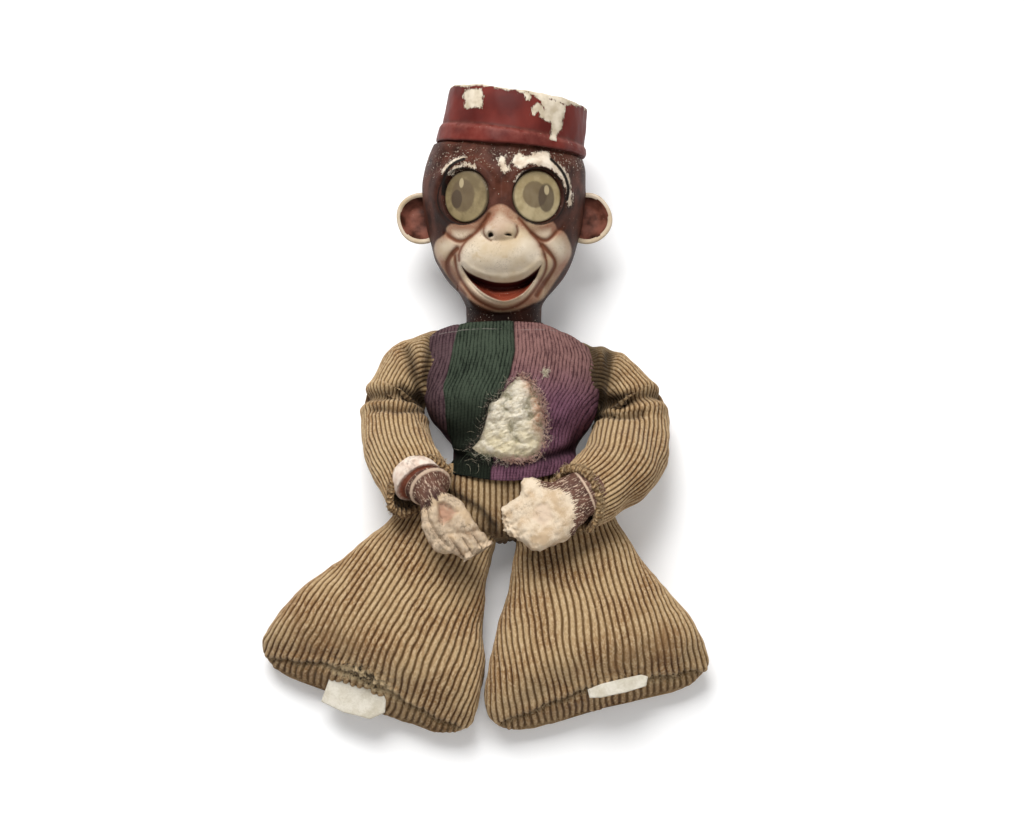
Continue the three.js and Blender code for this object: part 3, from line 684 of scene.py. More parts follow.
def make_sweater():
    rows, rounds, front = lofted(np.linspace(-35, HEM, 190), body_frame, 420, 300, 500)
    bow = HEM_DROP * (1 - ((rows[..., 0] - 1) / 30) ** 2)
    rows[..., 1] -= ease(20, HEM, -rows[..., 1]) * bow.clip(-1, HEM_DROP) * front
    collar = make_collar(rows)
    rows = np.vstack([collar, rows])
    rounds = np.vstack([np.repeat(rounds[:1], len(collar), axis=0), rounds])
    front = np.broadcast_to(front, rows.shape[:2])
    x, y = rows[..., 0], rows[..., 1]
    down = -y
    row = np.arange(len(rows))[:, None]
    across = x - line_at(SEAM_LINE, y)
    swell = np.interp(down, [-36, -20, 0, 20, 44], [0.92, 1.0, 1.06, 0.9, 0.86])
    rib = ribs(np.where(front, across / swell, rounds) / KNIT_PITCH, KNIT_GROOVE)
    seam = to_line(x, y, SEAM_LINE)
    strip = to_line(x, y, STRIP_LINE)
    ragged = to_shape(x, y, TEAR) + waves(rows, 5, 3) * 0.6
    tear = np.where(front & (rows[..., 2] > 30), ragged, AWAY)
    waist = to_line(x, y, WAIST) + AWAY * (1 - front)
    push = rib * 0.26 + waves(rows, 26, 5) * 0.5 + waves(rows, 11, 6) * 0.3
    push = push - bell(seam, 1.0) * 0.7 * front - bell(strip, 0.9) * 0.5 * front
    push = push + bell(tear - 1.5, 2.2) * 0.8 - bell(waist, 2.0) * 1.9 + bell(waist - 4, 2.5) * 0.5
    push = push - ease(0, -2.2, tear) * 6.0
    collar_part = ease(-33, -36.5, down) * (row < len(collar))
    rows = pushed(rows, push * (1 - 0.7 * collar_part))
    rested(rows)
    edge = (row - len(rows) + 4).clip(0) / 4
    shade = 0.75 * bell(waist, 2.4) + 0.4 * bell(tear, 1.0) + 0.6 * edge
    shade = shade + 0.35 * bell(seam, 0.8) * front + 0.8 * (row < 3)
    marks = {
        "rib": rib,
        "seam": np.where(across > 0, 1, -1) * seam,
        "strip": np.where(x > line_at(STRIP_LINE, y), 1, -1) * strip,
        "tear": tear,
        "front": front,
        "down": down,
        "shade": np.clip(shade, 0, 1),
    }
    made = mesh_of("sweater", rows, (False, False), marks)
    nodes = ("sweater_purple", "sweater_green", "sweater_side", "sweater_back", "neckband", "neck_tie")
    dress(made, knit(), "purple_knit", "torso", *nodes)


def knit():
    f = Finish("ribbed knit")
    rib = f.mark("rib")
    fuzz = f.noise(0.5, 3, 0.8)
    patch = f.noise(13, 3, 0.6)
    stitch = (f.mark("down") * (2 * pi / 1.3) + f.noise(3, 2) * 5).wave() * 0.5 + 0.5
    broken = f.noise(2.2, 4, 0.8, f.stretched(1.6, 0.35, 1))
    tone = rib * (stitch * 0.06 + 0.42) + fuzz * 0.9 + (broken - 0.5) * 1.6 + (patch - 0.5) * 0.8 - 0.08

    def yarn(dark, light):
        return f.mix(dark, light, f.ramp(tone, 0.2, 1.0))

    green = yarn("#151a15", "#434c3f")
    # Painted shade: the green darkens, unevenly, towards the waist
    green = f.mix(green, "#12140f", f.ramp(f.mark("down") + patch * 10, 4, 28) * 0.8)
    purple = yarn("#432b2d", "#8c6863")
    lower = yarn("#3b2430", "#755060")
    purple = f.mix(purple, lower, f.ramp(f.mark("down") + patch * 16, -10, 20))
    dull = yarn("#2c1d23", "#5e494c")
    edge = (fuzz - 0.5) * 0.8
    colour = f.mix(green, purple, f.ramp(f.mark("seam") + edge, -0.3, 0.3))
    stained = f.ramp(f.mark("tear") + patch * 6, 7.5, 1.5) * f.ramp(f.mark("seam"), 2, -2)
    colour = f.mix(colour, "#100f0c", stained * 0.75)
    colour = f.mix(dull, colour, f.ramp(f.mark("strip") + edge, -0.3, 0.3))
    colour = f.mix(dull, colour, f.mark("front"))
    run = (f.mark("down") + 30.5 + (f.noise(30, 1) - 0.5) * 7).size()
    thread = f.ramp(run, 0.45, 0.12) * f.ramp(f.noise(4, 2), 0.42, 0.56) * f.mark("front")
    colour = f.mix(colour, "#a39a94", thread * 0.25)
    lint = f.ramp(f.noise(1.0, 5, 0.85) + f.ramp(f.mark("tear"), 5, 0) * 0.12, 0.63, 0.74)
    lint = lint * f.ramp(f.mark("tear"), 11, 1)
    colour = f.mix(colour, "#b5a394", lint * 0.75)
    pulls = f.ramp(f.noise(2.2, 4, 0.8, f.stretched(0.5, 2.2, 1)), 0.68, 0.76) * f.mark("front")
    colour = f.mix(colour, "#a08f86", pulls * 0.45)
    colour = f.mix(colour, "#0e0b0a", f.mark("shade"))
    return f.surface(colour, 0.95, Normal=f.bump(fuzz + stitch * 0.25, 0.4), Specular_IOR_Level=0.05)


# Seat of the trousers
seat_half = curve([33, 38, 46, 54, 60, 65, 68, 69], [31, 33, 37, 36, 31, 22, 13, 8])
seat_top = curve([33, 38, 44, 52, 60, 65, 68, 69], [13, 15.5, 17, 15, 12.5, 9.5, 6, 2])
seat_low = curve([33, 58, 65, 69], [26.8, 26.8, 22, 14])
SEAT_FOLDS = [
    [(-29, -48.5), (-20, -54), (-12.7, -58.6), (-6, -66)],
    [(27, -48), (18, -56), (9, -63), (2, -70)],
]


def seat_frame(s):
    middle = np.array([1.5, -s, BODY_MIDDLE])
    return middle, X_WAY, Z_WAY, seat_half(s), seat_top(s), seat_low(s), 0.86, 0.56


def make_seat():
    rows, _, front = lofted(np.linspace(34, 69, 100), seat_frame, 260, 240, 400)
    x, y = rows[..., 0], rows[..., 1]
    rib = ribs((x - 1) / 2.9 + waves(rows, 30, 8) * 0.15, WALE_GROOVE)
    near = least(to_line(x, y, fold) for fold in SEAT_FOLDS)
    push = rib * 0.75 + waves(rows, 18, 9) * 0.6
    push = push - bell(near, 1.8) * 1.7 - bell(x - 0.5, 1.0) * 0.8 * front
    rows = pushed(rows, push)
    rested(rows)
    shade = 0.14 + 0.6 * bell(near, 2.2)
    shade = shade + 0.35 * ease(-36, -41, y) * ease(-46, -41, y) + 0.3 * ease(-60, -69, y)
    made = mesh_of("seat", rows, (True, True), {"rib": rib, "shade": np.clip(shade, 0, 0.85)})
    dress(made, corduroy, "corduroy", "torso", "seat_front", "seat_back")


# Sleeves: each section runs from the outer to the inner edge of the arm
ARMS = {
    RIGHT: {
        "outer": [(-33, 35), (-39.5, 35.2), (-47.5, 32.6), (-55.8, 27), (-62.5, 20.8),
            (-67.2, 12.5), (-70.2, 3), (-71.8, -7), (-71.8, -17), (-69.6, -28), (-65.9, -38.6),
            (-61.5, -49), (-56.1, -60)],
        "inner": [(-33, 3), (-38.5, 2.5), (-40.2, 2), (-41, 1), (-41.6, -0.6), (-42, -2.6),
            (-42, -5.5), (-41.2, -9), (-39.8, -13.5), (-37.6, -19.5), (-34.6, -26.4), (-31, -33.5),
            (-28, -41)],
        "mouth": (9, 0), "seam": 39, "armhole": 0.25,
        "bend": [(-15.4, -18.5), (-25.6, -30.8)],
        "creases": [[(-36, 30), (-38, 20), (-40, 8)], [(-72, 3), (-62, 1), (-52, 2), (-43, -1)],
                    [(-66, -6), (-54, -8), (-42, -6)], [(-50, 24), (-46, 10), (-43, 2)]],
        "middle": [25, 24.5, 23.5, 22, 20.5, 19.5, 19.5, 21, 25, 31, 39, 47, 52],
        "thick": [16.5, 17.5, 18, 18, 17.6, 17.2, 17, 16.8, 16.4, 16, 15.2, 13.8, 12.8],
    },
    LEFT: {
        "outer": [(38, 30), (45.6, 27), (54, 24.6), (62.3, 20), (69, 14.4), (74.8, 8.2), (79, -0.5),
            (81.2, -11), (81.2, -22), (78.6, -33), (72.6, -44.6), (61, -57), (43.5, -68.4)],
        "inner": [(38, -2), (45, -2.2), (46.4, -3), (46.6, -4.4), (46.3, -6.4), (45.5, -9),
            (44.4, -12.2), (43.2, -16.4), (42, -21.2), (40, -26.4), (36.8, -31.6), (32.4, -36.4),
            (27.5, -41.5)],
        "mouth": (5.5, 3.5), "seam": 44, "armhole": 0.7,
        "bend": [(20.2, -19.3), (34.6, -33.1)],
        "creases": [[(42, 24), (45, 12), (46, 2)], [(46, -2), (58, -3), (70, 1), (79, 3)],
                    [(45, -8), (56, -11), (68, -9)], [(52, 22), (50, 10), (47, 0)]],
        "middle": [26, 25.5, 24.5, 23, 21.5, 20.5, 20.5, 21.5, 25.5, 32, 40, 48, 53],
        "thick": [16.5, 17.5, 18, 18.2, 18, 17.8, 17.8, 17.6, 17.2, 16.8, 16.2, 15.2, 14.4],
    },
}


SLEEVE_WALES = 36
# Depth and width of each crease of a sleeve
CREASES = [(2.2, 2.2), (2.8, 2.6), (1.5, 1.8), (1.8, 2.2)]


def arm_frame(arm):
    """The sections of a sleeve, numbered from the shoulder on, and the last one's number."""
    last = len(arm["outer"]) - 1
    steps = np.arange(last + 1)
    edges = [[curve(steps, column) for column in zip(*arm[key])] for key in ("outer", "inner")]
    middle, thick = curve(steps, arm["middle"]), curve(steps, arm["thick"])

    def edges_at(s):
        return [np.array([x(s), y(s), middle(s)]) for x, y in edges]

    def at(s):
        a, b = edges_at(s)
        along = sum(edges_at(min(s + 0.1, last))) - sum(edges_at(max(s - 0.1, 0)))
        half = np.linalg.norm(a - b) / 2
        across = (a - b) / (2 * half)
        rise = np.cross(across, along)
        rise *= np.sign(rise[2]) / np.linalg.norm(rise)
        return (a + b) / 2, across, rise, half, thick(s), thick(s), 1.0, 0.9

    return at, last


def make_sleeve(word):
    side = -1 if word == RIGHT else 1
    arm = ARMS[word]
    at, last = arm_frame(arm)
    rows, _, front = lofted(np.linspace(0, last, 200), at, 150, 100)
    high, wide = rows.shape[:2]
    step = np.linspace(0, last, high)[:, None]
    whole = np.arange(wide) / wide
    rib = ribs(whole * SLEEVE_WALES + waves(rows, 40, 21 + side) * 0.25, WALE_GROOVE)
    x, y = rows[..., 0], rows[..., 1]
    push = rib * 0.7 + waves(rows, 22, 31 + side) * 0.7 + waves(rows, 9, 33 + side) * 0.3
    shade = arm["armhole"] * ease(16, 2, np.abs(x) - arm["seam"]) * ease(-14, -2, y) * front
    for line, (depth, width) in zip(arm["creases"], CREASES):
        near = to_line(x, y, line)
        fold = bell(near, width) - bell(near - width * 2.2, width) * 0.35
        push = push - fold * depth * front
        shade = shade + 0.6 * bell(near, width * 1.1) * front
    rows = pushed(rows, push)
    back, ahead = arm["mouth"]
    along = unit(rows[-1].mean(axis=0) - rows[-6].mean(axis=0))
    over = (rows[..., 2] - rows[..., 2].mean(axis=1, keepdims=True)) / arm["thick"][-1]
    slant = np.where(over > 0, -back, -ahead) * over * ease(last - 2.5, last, step)
    rows = rows + slant[..., None] * along
    rested(rows, 0.3)
    marks = {"rib": rib, "shade": np.clip(shade, 0, 0.9), "worn": 0.0}
    sleeve = mesh_of(f"sleeve_cloth_{word}", rows, (True, False), marks)
    mouth = rows[-1]
    cuff = rolled_cuff(f"cuff_{word}", mouth, unit(mouth.mean(0) - rows[-4].mean(0)), side)
    made = joined([sleeve, cuff])
    dress(made, corduroy, "corduroy", None, f"sleeve_{word}", f"arm_stuffing_{word}")
    fray(f"cuff_fray_{word}", mouth, along, count=420, long=2.2, seed=57 + side, body=f"arm_{word}")
    start, end = [(x * MM, y * MM, 0) for x, y in arm["bend"]]
    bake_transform(made)


def rolled_cuff(name, mouth, along, side):
    """The frayed hem turned in at a sleeve's end: out over the edge, and back inside."""
    spoke = unit(mouth - mouth.mean(axis=0))
    tube = 2.1
    rag = waves(mouth, 4, 51 + side)[:, None] * 0.45 + waves(mouth, 1.6, 52 + side)[:, None] * 0.3
    rows = []
    for t in np.linspace(-0.15 * pi, 1.35 * pi, 22):
        out = tube * cos(t) - tube * 0.6 + rag * 0.6
        rows.append(mouth + spoke * out + along * (tube * sin(t) * 1.15 + rag))
    for deep in (3, 7, 12):
        rows.append(mouth - spoke * (tube * 1.5 + 0.4) - along * deep)
    rows = np.array(rows)
    whole = np.arange(rows.shape[1]) / rows.shape[1]
    rib = ribs(whole * SLEEVE_WALES + 0.3, WALE_GROOVE) * 0.6
    rib = np.clip(rib + waves(rows, 1.4, 55) * 0.35, 0, 1)
    rows = pushed(rows, rib * 0.4)
    shade = np.zeros(rows.shape[:2])
    shade[14:] = np.linspace(0.15, 0.7, len(rows) - 14)[:, None]
    return mesh_of(name, rows, (False, False), {"rib": rib, "shade": shade, "worn": 0.5})


# Legs, each in its own frame: s runs from the hip to the foot, and the end slants by the skew
LEGS = {
    RIGHT: {"hip": (-31, -67), "turn": -27, "long": 91, "skew": -0.1,
            "end": [(-60, 1), (-52, 2.5), (-19, 8.5), (1, 9.5), (24, 6), (60, 4)],
            "torn": (-2, 17, 1.0), "bald": (-26, 70), "soiled": 0.9},
    LEFT: {"hip": (31, -67), "turn": 11, "long": 86, "skew": -0.065,
           "end": [(-58, 4), (-35, 5.5), (-7, 8.5), (25, 6), (58, 4)],
           "torn": (10, 24, 0.45), "bald": (24, 66), "soiled": 0.3},
}
# Length of the shape that both legs are made from, and two places above and below the hip, whose points
# are worked out but not used
LEG_SHAPE = 91
HIP_BEND = (20, -8)
leg_half = curve([-25, -24, -20, -12, 0, 27, 50, 60, 72, 80, 84, 88, 90, 91],
    [3, 8, 15.5, 22, 25.3, 35.5, 47.2, 50.6, 54.2, 54.6, 53, 48, 42, 35])
leg_top = curve([-25, -22, -12, 0, 30, 52, 66, 75, 81, 85, 88, 90, 91],
    [28, 30, 33, 35.5, 39, 43, 42, 36.5, 29.5, 24, 18, 14, 11])
leg_low = curve([-25, -22, -12, 0, 76, 84, 88, 90, 91], [12, 6, 1.5, 0.3, 0.3, 1.5, 4, 7, 10])
leg_middle = curve([-25, 76, 91], [20, 20, 10.5])


def leg_frame(s):
    middle = leg_middle(s)
    spot = np.array([0, -s, middle])
    return spot, X_WAY, Z_WAY, leg_half(s), leg_top(s) - middle, middle - leg_low(s), 0.84, 0.6


def from_leg(leg, rows):
    """Points of a leg's own frame in the doll's."""
    c, s = cos(radians(leg["turn"])), sin(radians(leg["turn"]))
    x, y = rows[..., 0], rows[..., 1]
    placed = [leg["hip"][0] + x * c - y * s, leg["hip"][1] + x * s + y * c, rows[..., 2]]
    return np.stack(placed, axis=-1)


def make_leg(word):
    leg = LEGS[word]
    seed = 60 if word == RIGHT else 80
    spans = [(-25, -20, 10), (-20, 76, 120), (76, LEG_SHAPE, 44)]
    hip, thigh, foot = [np.linspace(*span) for span in spans]
    stations = np.concatenate([hip[:-1], thigh[:-1], foot])
    rows, rounds, front = lofted(stations, leg_frame, 330, 260, 500)
    front = np.broadcast_to(front, rows.shape[:2])
    rows[..., 1] *= np.where(rows[..., 1] < 0, leg["long"] / LEG_SHAPE, 1)
    x, s = rows[..., 0].copy(), -rows[..., 1]
    ends, insets = zip(*leg["end"])
    seam = s - (leg["long"] - np.interp(x, ends, insets)) + 0.4 * np.sin(x * 0.35 + seed)
    pitch = np.interp(s, [-20, 20, 50, 90], [2.85, 3.0, 3.25, 3.3])
    wander = waves(rows, 45, seed + 1) * 0.3 + waves(rows, 13, seed + 2) * 0.07
    rib = ribs(rounds / pitch + wander, WALE_GROOVE)
    at, spread, much = leg["torn"]
    torn = much * bell(x - at, spread) * bell(seam + 1.5, 5) * front
    bald = bell((x - leg["bald"][0]) / 24, 1) * bell((s - leg["bald"][1]) / 13, 1) * front
    crease = to_line(x, s, [(-24, 4), (-10, 12), (6, 10)]) + AWAY * (1 - front)
    push = rib * (0.9 - 0.3 * bald) + waves(rows, 26, seed + 3) * 0.6 + waves(rows, 9, seed + 5) * 0.24
    push = push - bell(crease, 3) * 0.7 - bell(seam, 0.8) * 1.5 * front
    push = push + bell(seam + 2.2, 1.5) * 0.7 * front + bell(seam - 2.5, 2) * 0.5 * front
    pucker = np.sin(x * 1.15 + waves(rows, 12, seed + 6) * 2) * bell(seam, 3.0)
    push = push + pucker * 0.4 * front + waves(rows, 3.2, seed + 7) * torn * 1.1
    rows = pushed(rows, push)
    rows[..., 1] += leg["skew"] * -x * ease(35, 84, s)
    flat = rows.copy()
    rows = from_leg(leg, rows)
    rested(rows)
    stained = leg["soiled"] * ease(48, 84, s) * ease(-0.5, 1.2, waves(rows, 34, seed + 11))
    soil = 0.3 * ease(-4, 2, seam) * front + 0.5 * bald + stained
    shade = 0.5 * bell(seam, 0.9) * front + 0.2 * bell(s + 17, 7) * front + 0.15 * bell(crease, 3)
    marks = {
        "rib": rib * np.where(seam > 0.3, 0.75, 1),
        "bald": bald,
        "worn": np.clip(torn + 0.6 * bell(seam, 2.6) * front, 0, 1),
        "hole": np.clip(torn * 1.1, 0, 1) * (much > 0.6),
        "soil": np.clip(soil, 0, 1),
        "shade": np.clip(shade, 0, 0.9),
    }
    made = mesh_of(f"leg_{word}", rows, (True, True), marks, flat)
    nodes = (f"leg_front_{word}", f"leg_back_{word}", f"leg_stuffing_{word}")
    dress(made, corduroy, "corduroy", None, *nodes)
    loose = rows[front & ((np.abs(seam) < 0.7) | ((torn > 0.45) & (seam > -8)))]
    ahead = np.array([0, -0.6, 0.5])
    fray(f"seam_fray_{word}", loose, ahead, count=300, long=2.6, seed=seed + 9, body=f"leg_{word}")
    start, end = [tuple(from_leg(leg, np.array([0, up, 0])) * MM) for up in HIP_BEND]
    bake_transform(made)


# Foot tabs: short ends of tape, curved, sewn in at the foot
TABS = {
    RIGHT: ([(-17, 88), (-8.4, 86.7), (6.5, 81), (11.1, 81), (15.3, 91.4), (10.1, 97.4),
             (-3.3, 100.2), (-15.6, 100.4)], 24.5, -0.35),
    LEFT: ([(-6.5, 78.6), (0.4, 77.4), (20.5, 76.6), (23.6, 78), (21.8, 82.2), (12, 83.4),
            (-0.7, 83.6), (-6.3, 82.6)], 31.5, -0.3),
}


def slab(outline, count, thick, height_at):
    """A thin plate, in rows from the middle of its back over its edge to the middle of its front."""
    edge = even(loop(outline), count + 1)[:-1]
    middle = edge.mean(axis=0)
    profile = [(0.02, -1), (0.5, -1), (0.95, -1), (0.995, -0.7), (1, 0), (0.995, 0.7), (0.95, 1)]
    profile += [(share, 1) for share in np.linspace(0.9, 0.02, 14)]
    rows = []
    for share, lift in profile:
        flat = middle + (edge - middle) * share
        rows.append(np.column_stack([flat, height_at(flat[:, 0], flat[:, 1]) + lift * thick / 2]))
    return np.array(rows)


def make_tab(word):
    outline, high, slope = TABS[word]
    start = min(s for x, s in outline)

    def height_at(x, s):
        return high + slope * (s - start) + 0.5 * np.sin(x * 0.16) - 0.35 * ((x - 4) / 12) ** 2

    rows = slab(outline, 120, 1.3, height_at)
    rows[..., 1] *= -1
    rows = from_leg(LEGS[word], rows)
    made = mesh_of(f"tape_tab_{word}", rows, (True, True), {"shade": 0.0})
    dress(made, tape, "tape", f"leg_{word}", f"foot_tab_{word}")


fibre_tan = plain_cloth("frayed rib", "#9c7f5a", "#cdb48e", "#6d5232")
fibre_pale = plain_cloth("cotton fibre", "#c3b79c", "#e4dac2", "#9c9078")
tape = plain_cloth("tape", "#cfc6b2", "#e6dfd0", "#a89c84", 1.6)
corduroy = corduroy_finish()
make_sweater()
make_seat()
for word in (RIGHT, LEFT):
    make_sleeve(word)
    make_leg(word)
    make_tab(word)


# Head: a height map over rings of the cast head, in the head's own frame
HAT_AT = (3, 83)
HAT_TILT = radians(-9)
head_half = curve([-8, 0, 2.5, 5, 8, 11, 15, 21, 28, 36, 50, 65, 74, 80, 86, 92],
                  [19, 18.9, 18.9, 18.9, 19.8, 21.8, 25.4, 30.2, 34, 36.4, 39.8, 41.4, 40.9, 39.8,
                      38.2, 36.4])
head_shift = curve([-8, 50, 65, 74, 80, 92], [0, 0, 0, 0.4, 1.2, 2.4])
head_front = curve([-8, 0, 3, 6, 9, 12, 16, 24, 32, 40, 50, 66, 78, 92],
    [18.9, 18.9, 19.2, 20.4, 22.4, 25, 28.5, 34, 37, 38, 37.6, 37, 36.5, 33])
head_back = curve([-8, 0, 9, 16, 24, 32, 40, 50, 66, 78, 92],
    [18.9, 18.9, 20.5, 26, 31, 34.5, 37, 39, 40, 39, 36])
CREAM = [(-35.4, 34.4), (-34.4, 37.8), (-30.9, 39.8), (-28.5, 41.3), (-28.5, 44.2), (-25.5, 45.7),
    (-19.6, 44.7), (-12.7, 45.7), (-8.8, 49.6), (-6.3, 53.1), (-1.9, 55), (2.5, 53.1), (5.5, 50.1),
    (10.9, 45.7), (17.8, 44.2), (23.2, 46.7), (25.7, 45.2), (26.1, 42.2), (29.1, 42.7),
    (31.6, 39.8), (33.5, 35.8), (34, 32.4), (32.5, 28.5), (29.1, 22.6), (24.2, 15.7), (18.3, 8.3),
    (13.4, 6.3), (7.9, 3.4), (-1.9, 1.9), (-10.8, 4.3), (-17.7, 8.8), (-23.1, 13.7), (-29, 22.1),
    (-33.4, 29)]
BAGS = [
    [(-28.9, 41.5), (-26.4, 39), (-23, 37), (-19.5, 37), (-16.1, 39), (-12.7, 41.9), (-9.7, 45.4),
        (-7.3, 49.8)],
    [(7.4, 47.8), (10.4, 44.4), (13.3, 41), (16.8, 38), (20.7, 37), (23.6, 39), (26.1, 42.4),
        (28.5, 44.4)],
]
SMILES = [
    [(-23.1, 33.4), (-26, 30.9), (-28.5, 27), (-27.5, 22.1), (-24.1, 16.2), (-19.6, 10.3)],
    [(18.8, 34.9), (22.7, 31.4), (25.7, 27), (23.2, 21.6), (19.7, 16.2), (16.3, 10.7)],
]
UPPER_LIP = [(-21.5, 26.1), (-18, 22.2), (-11.7, 18.8), (-4.3, 16.8), (3, 16.8), (10.4, 18.8),
    (15.8, 22.7), (19.2, 26.6)]
LOWER_LIP = [(17.2, 21.7), (13.8, 15.8), (9.9, 10.9), (4.5, 8), (-0.9, 7), (-6.8, 9), (-11.7, 11.9),
    (-16.6, 17.3), (-20, 22.2)]
LIP_EDGE = [(-24.4, 30), (-23.9, 24.2), (-21, 17.8), (-17.1, 11.9), (-11.7, 7), (-5.3, 4.1),
    (-0.4, 3.1), (5.5, 4.6), (10.9, 8), (15.8, 13.4), (19.7, 20.2), (21.1, 26.1), (20.2, 30)]
GUM = [(-18.5, 19.6), (-13, 15.8), (-8, 13.9), (-3.5, 12.8), (2, 13), (7, 14.2), (11.5, 16.4),
    (15.5, 19.4), (14.4, 15.4), (9.9, 10.3), (4.5, 7.4), (-0.9, 6.4), (-6.8, 8.4), (-11.7, 11.3),
    (-16.6, 16.7)]
MUZZLE_SIDES = [
    [(-16.5, 39), (-20, 35.5), (-22.3, 31), (-22.2, 27.5)],
    [(13.5, 40.5), (17, 37.5), (19.5, 33.5), (20.3, 29)],
]
NOSTRILS = [
    [(-7.7, 37.5), (-8.2, 40), (-6.7, 41.4), (-4.8, 40.4), (-4.3, 38.5)],
    [(-0.4, 39), (1.1, 40.4), (3.5, 40.4), (4.5, 38.5)],
]
NOSE_SIDES = [
    [(-9.7, 43.9), (-10.2, 41), (-8.7, 38.1), (-6.2, 36.6)],
    [(6.2, 43.9), (6.8, 41), (5.6, 38.4)],
]
BROW_INK = [
    [(-30, 60.5), (-30, 66), (-29, 70.9), (-26.5, 74.3), (-23.1, 76.3), (-19.6, 77.3)],
    [(23.2, 77.3), (26.7, 74.3), (29.6, 70.4), (31.6, 66), (32.1, 62), (31.1, 58.1)],
]
BROW_CHIPS = [
    [(-30.5, 71.4), (-28.5, 74.3), (-24.6, 77.3), (-19.6, 78.3)],
    [(-26.5, 70.7), (-23.5, 73.1), (-19.1, 74.6), (-14.2, 73.1)],
]
CHIPS = [
    [(-3.4, 77.4), (0.6, 79.3), (1.1, 74.9), (3, 71.5), (-0.4, 70), (-2.4, 73.9)],
    [(3.5, 75.2), (5.5, 79.2), (7.9, 80.6), (10.9, 78.2), (16.3, 81.1), (21.7, 81.6), (23.2, 77.7),
        (27.6, 75.2), (31.6, 70.8), (33.2, 65.4), (33.8, 60), (33.5, 55.1), (31.6, 54.6),
        (31.4, 58), (30.6, 62.9), (28.4, 67.8), (23.7, 72.4), (19.7, 73.7), (12.9, 74.7), (7.9, 71.8)],
    [(5, 65.7), (6.5, 69.1), (9.9, 71.1), (7.9, 68.6), (6.5, 65.2)],
]
# Each eye's place from side to side and its turn outward in degrees
EYES = {RIGHT: (-19.8, -34), LEFT: (17.2, 24)}
EYE_UP = 59
EYE_OUT = 34.5
EYE_RADIUS = 13


def fuller(a, b, round_off):
    """The greater of two heights, with the corner between them rounded off."""
    near = np.clip(1 - np.abs(a - b) / round_off, 0, 1)
    return np.maximum(a, b) + near * near * round_off / 4


def dome(x, y, middle, spread, low, high):
    reach = 1 - ((x - middle[0]) / spread[0]) ** 2 - ((y - middle[1]) / spread[1]) ** 2
    return np.where(reach > 0, low + high * np.sqrt(np.clip(reach, 0, 1)), -50)


def face_marks(x, y):
    """How far each point is from the painted and carved features."""
    return {
        "cream": to_shape(x, y, rounded(CREAM, True)),
        "bag": to_lines(x, y, BAGS),
        "smile": to_lines(x, y, SMILES),
        "mouth": to_shape(x, y, rounded(UPPER_LIP + LOWER_LIP, True)),
        "lip": to_lines(x, y, [LIP_EDGE]),
        "gum": to_shape(x, y, rounded(GUM, True)),
        "nostril": least(to_shape(x, y, rounded(hole, True)) for hole in NOSTRILS),
        "muzzle": to_lines(x, y, MUZZLE_SIDES),
        "side": to_lines(x, y, NOSE_SIDES),
        "ink": to_lines(x, y, BROW_INK),
        "scuff": least(to_line(x, y, line) for line in BROW_CHIPS),
        "chip": least(to_shape(x, y, patch) for patch in CHIPS),
        "eye": least(np.hypot((x - at) / 0.93, y - EYE_UP) for at, turn in EYES.values()),
    }


def face_relief(x, y, z, far):
    """The front of the face with its features raised and cut."""
    z = fuller(z, dome(x, y, (-1, 31), (23.5, 15), 21, 21.5), 4)
    z = fuller(z, dome(x, y, (-1.4, 14), (22, 12.5), 15, 17.5), 4)
    z = fuller(z, dome(x, y, (-1.9, 42), (9.5, 6.2), 36, 8), 2.5)
    z = fuller(z, dome(x, y, (-1.6, 50), (6.5, 12), 33, 6.5), 3)
    for side in (-1, 1):
        z = z + 2.2 * np.exp(-(((x - side * 29.5) / 6.5) ** 2 + ((y - 33) / 9) ** 2))
    rim = far["eye"] - EYE_RADIUS
    mouth = far["mouth"]
    z = z + 2.4 * bell(rim - 3.6, 3.0) * ease(48, 66, y) + 1.2 * bell(rim - 2.0, 2.0) * ease(60, 50, y)
    z = z - 1.1 * bell(far["bag"], 1.2) - 1.5 * bell(far["smile"], 1.4) * ease(-1, 2, mouth)
    z = z + 1.5 * bell(mouth - 1.9, 1.9) * ease(26, 18, y)
    z = z + 0.8 * bell(mouth - 1.6, 1.5) * ease(16, 24, y)
    z = z - 1.3 * bell(far["lip"], 1.1) - 0.8 * bell(far["muzzle"], 0.9)
    z = z - 8.5 * ease(0.3, -2.4, mouth) + 3.4 * ease(0.6, -1.6, far["gum"])
    return z - 3.2 * ease(0.3, -1.1, far["nostril"]) - 0.9 * bell(far["side"], 0.9)


def eye_frame(word):
    """The middle of an eye, and the ways across it and out of it."""
    at, turn = EYES[word]
    c, s = cos(radians(turn)), sin(radians(turn))
    return np.array([at, EYE_UP, EYE_OUT]), np.array([c, 0, -s]), np.array([s, 0, c])


def sink_eyes(rows, front):
    """Presses the round eye sockets flat into the face."""
    for word in EYES:
        spot, across, out = eye_frame(word)
        off = rows - spot
        high = off @ out
        reach = np.hypot(off @ across, off[..., 1])
        near = front & (high > -14)
        share = ease(EYE_RADIUS + 0.75, EYE_RADIUS + 0.1, reach) * near
        lip = bell(reach - EYE_RADIUS - 1.2, 0.8) * near
        rows = rows + ((-3.2 - high) * share + lip * 0.5)[..., None] * out
    return rows


def brim_rise(x):
    """How much shallower the hat's band gets towards the left."""
    return np.clip(x + 20, 0, 60) * 0.07


def head_frame(y):
    spot = np.array([head_shift(y), y, 0])
    return spot, X_WAY, Z_WAY, head_half(y), head_front(y), head_back(y), 0.95, 1.0


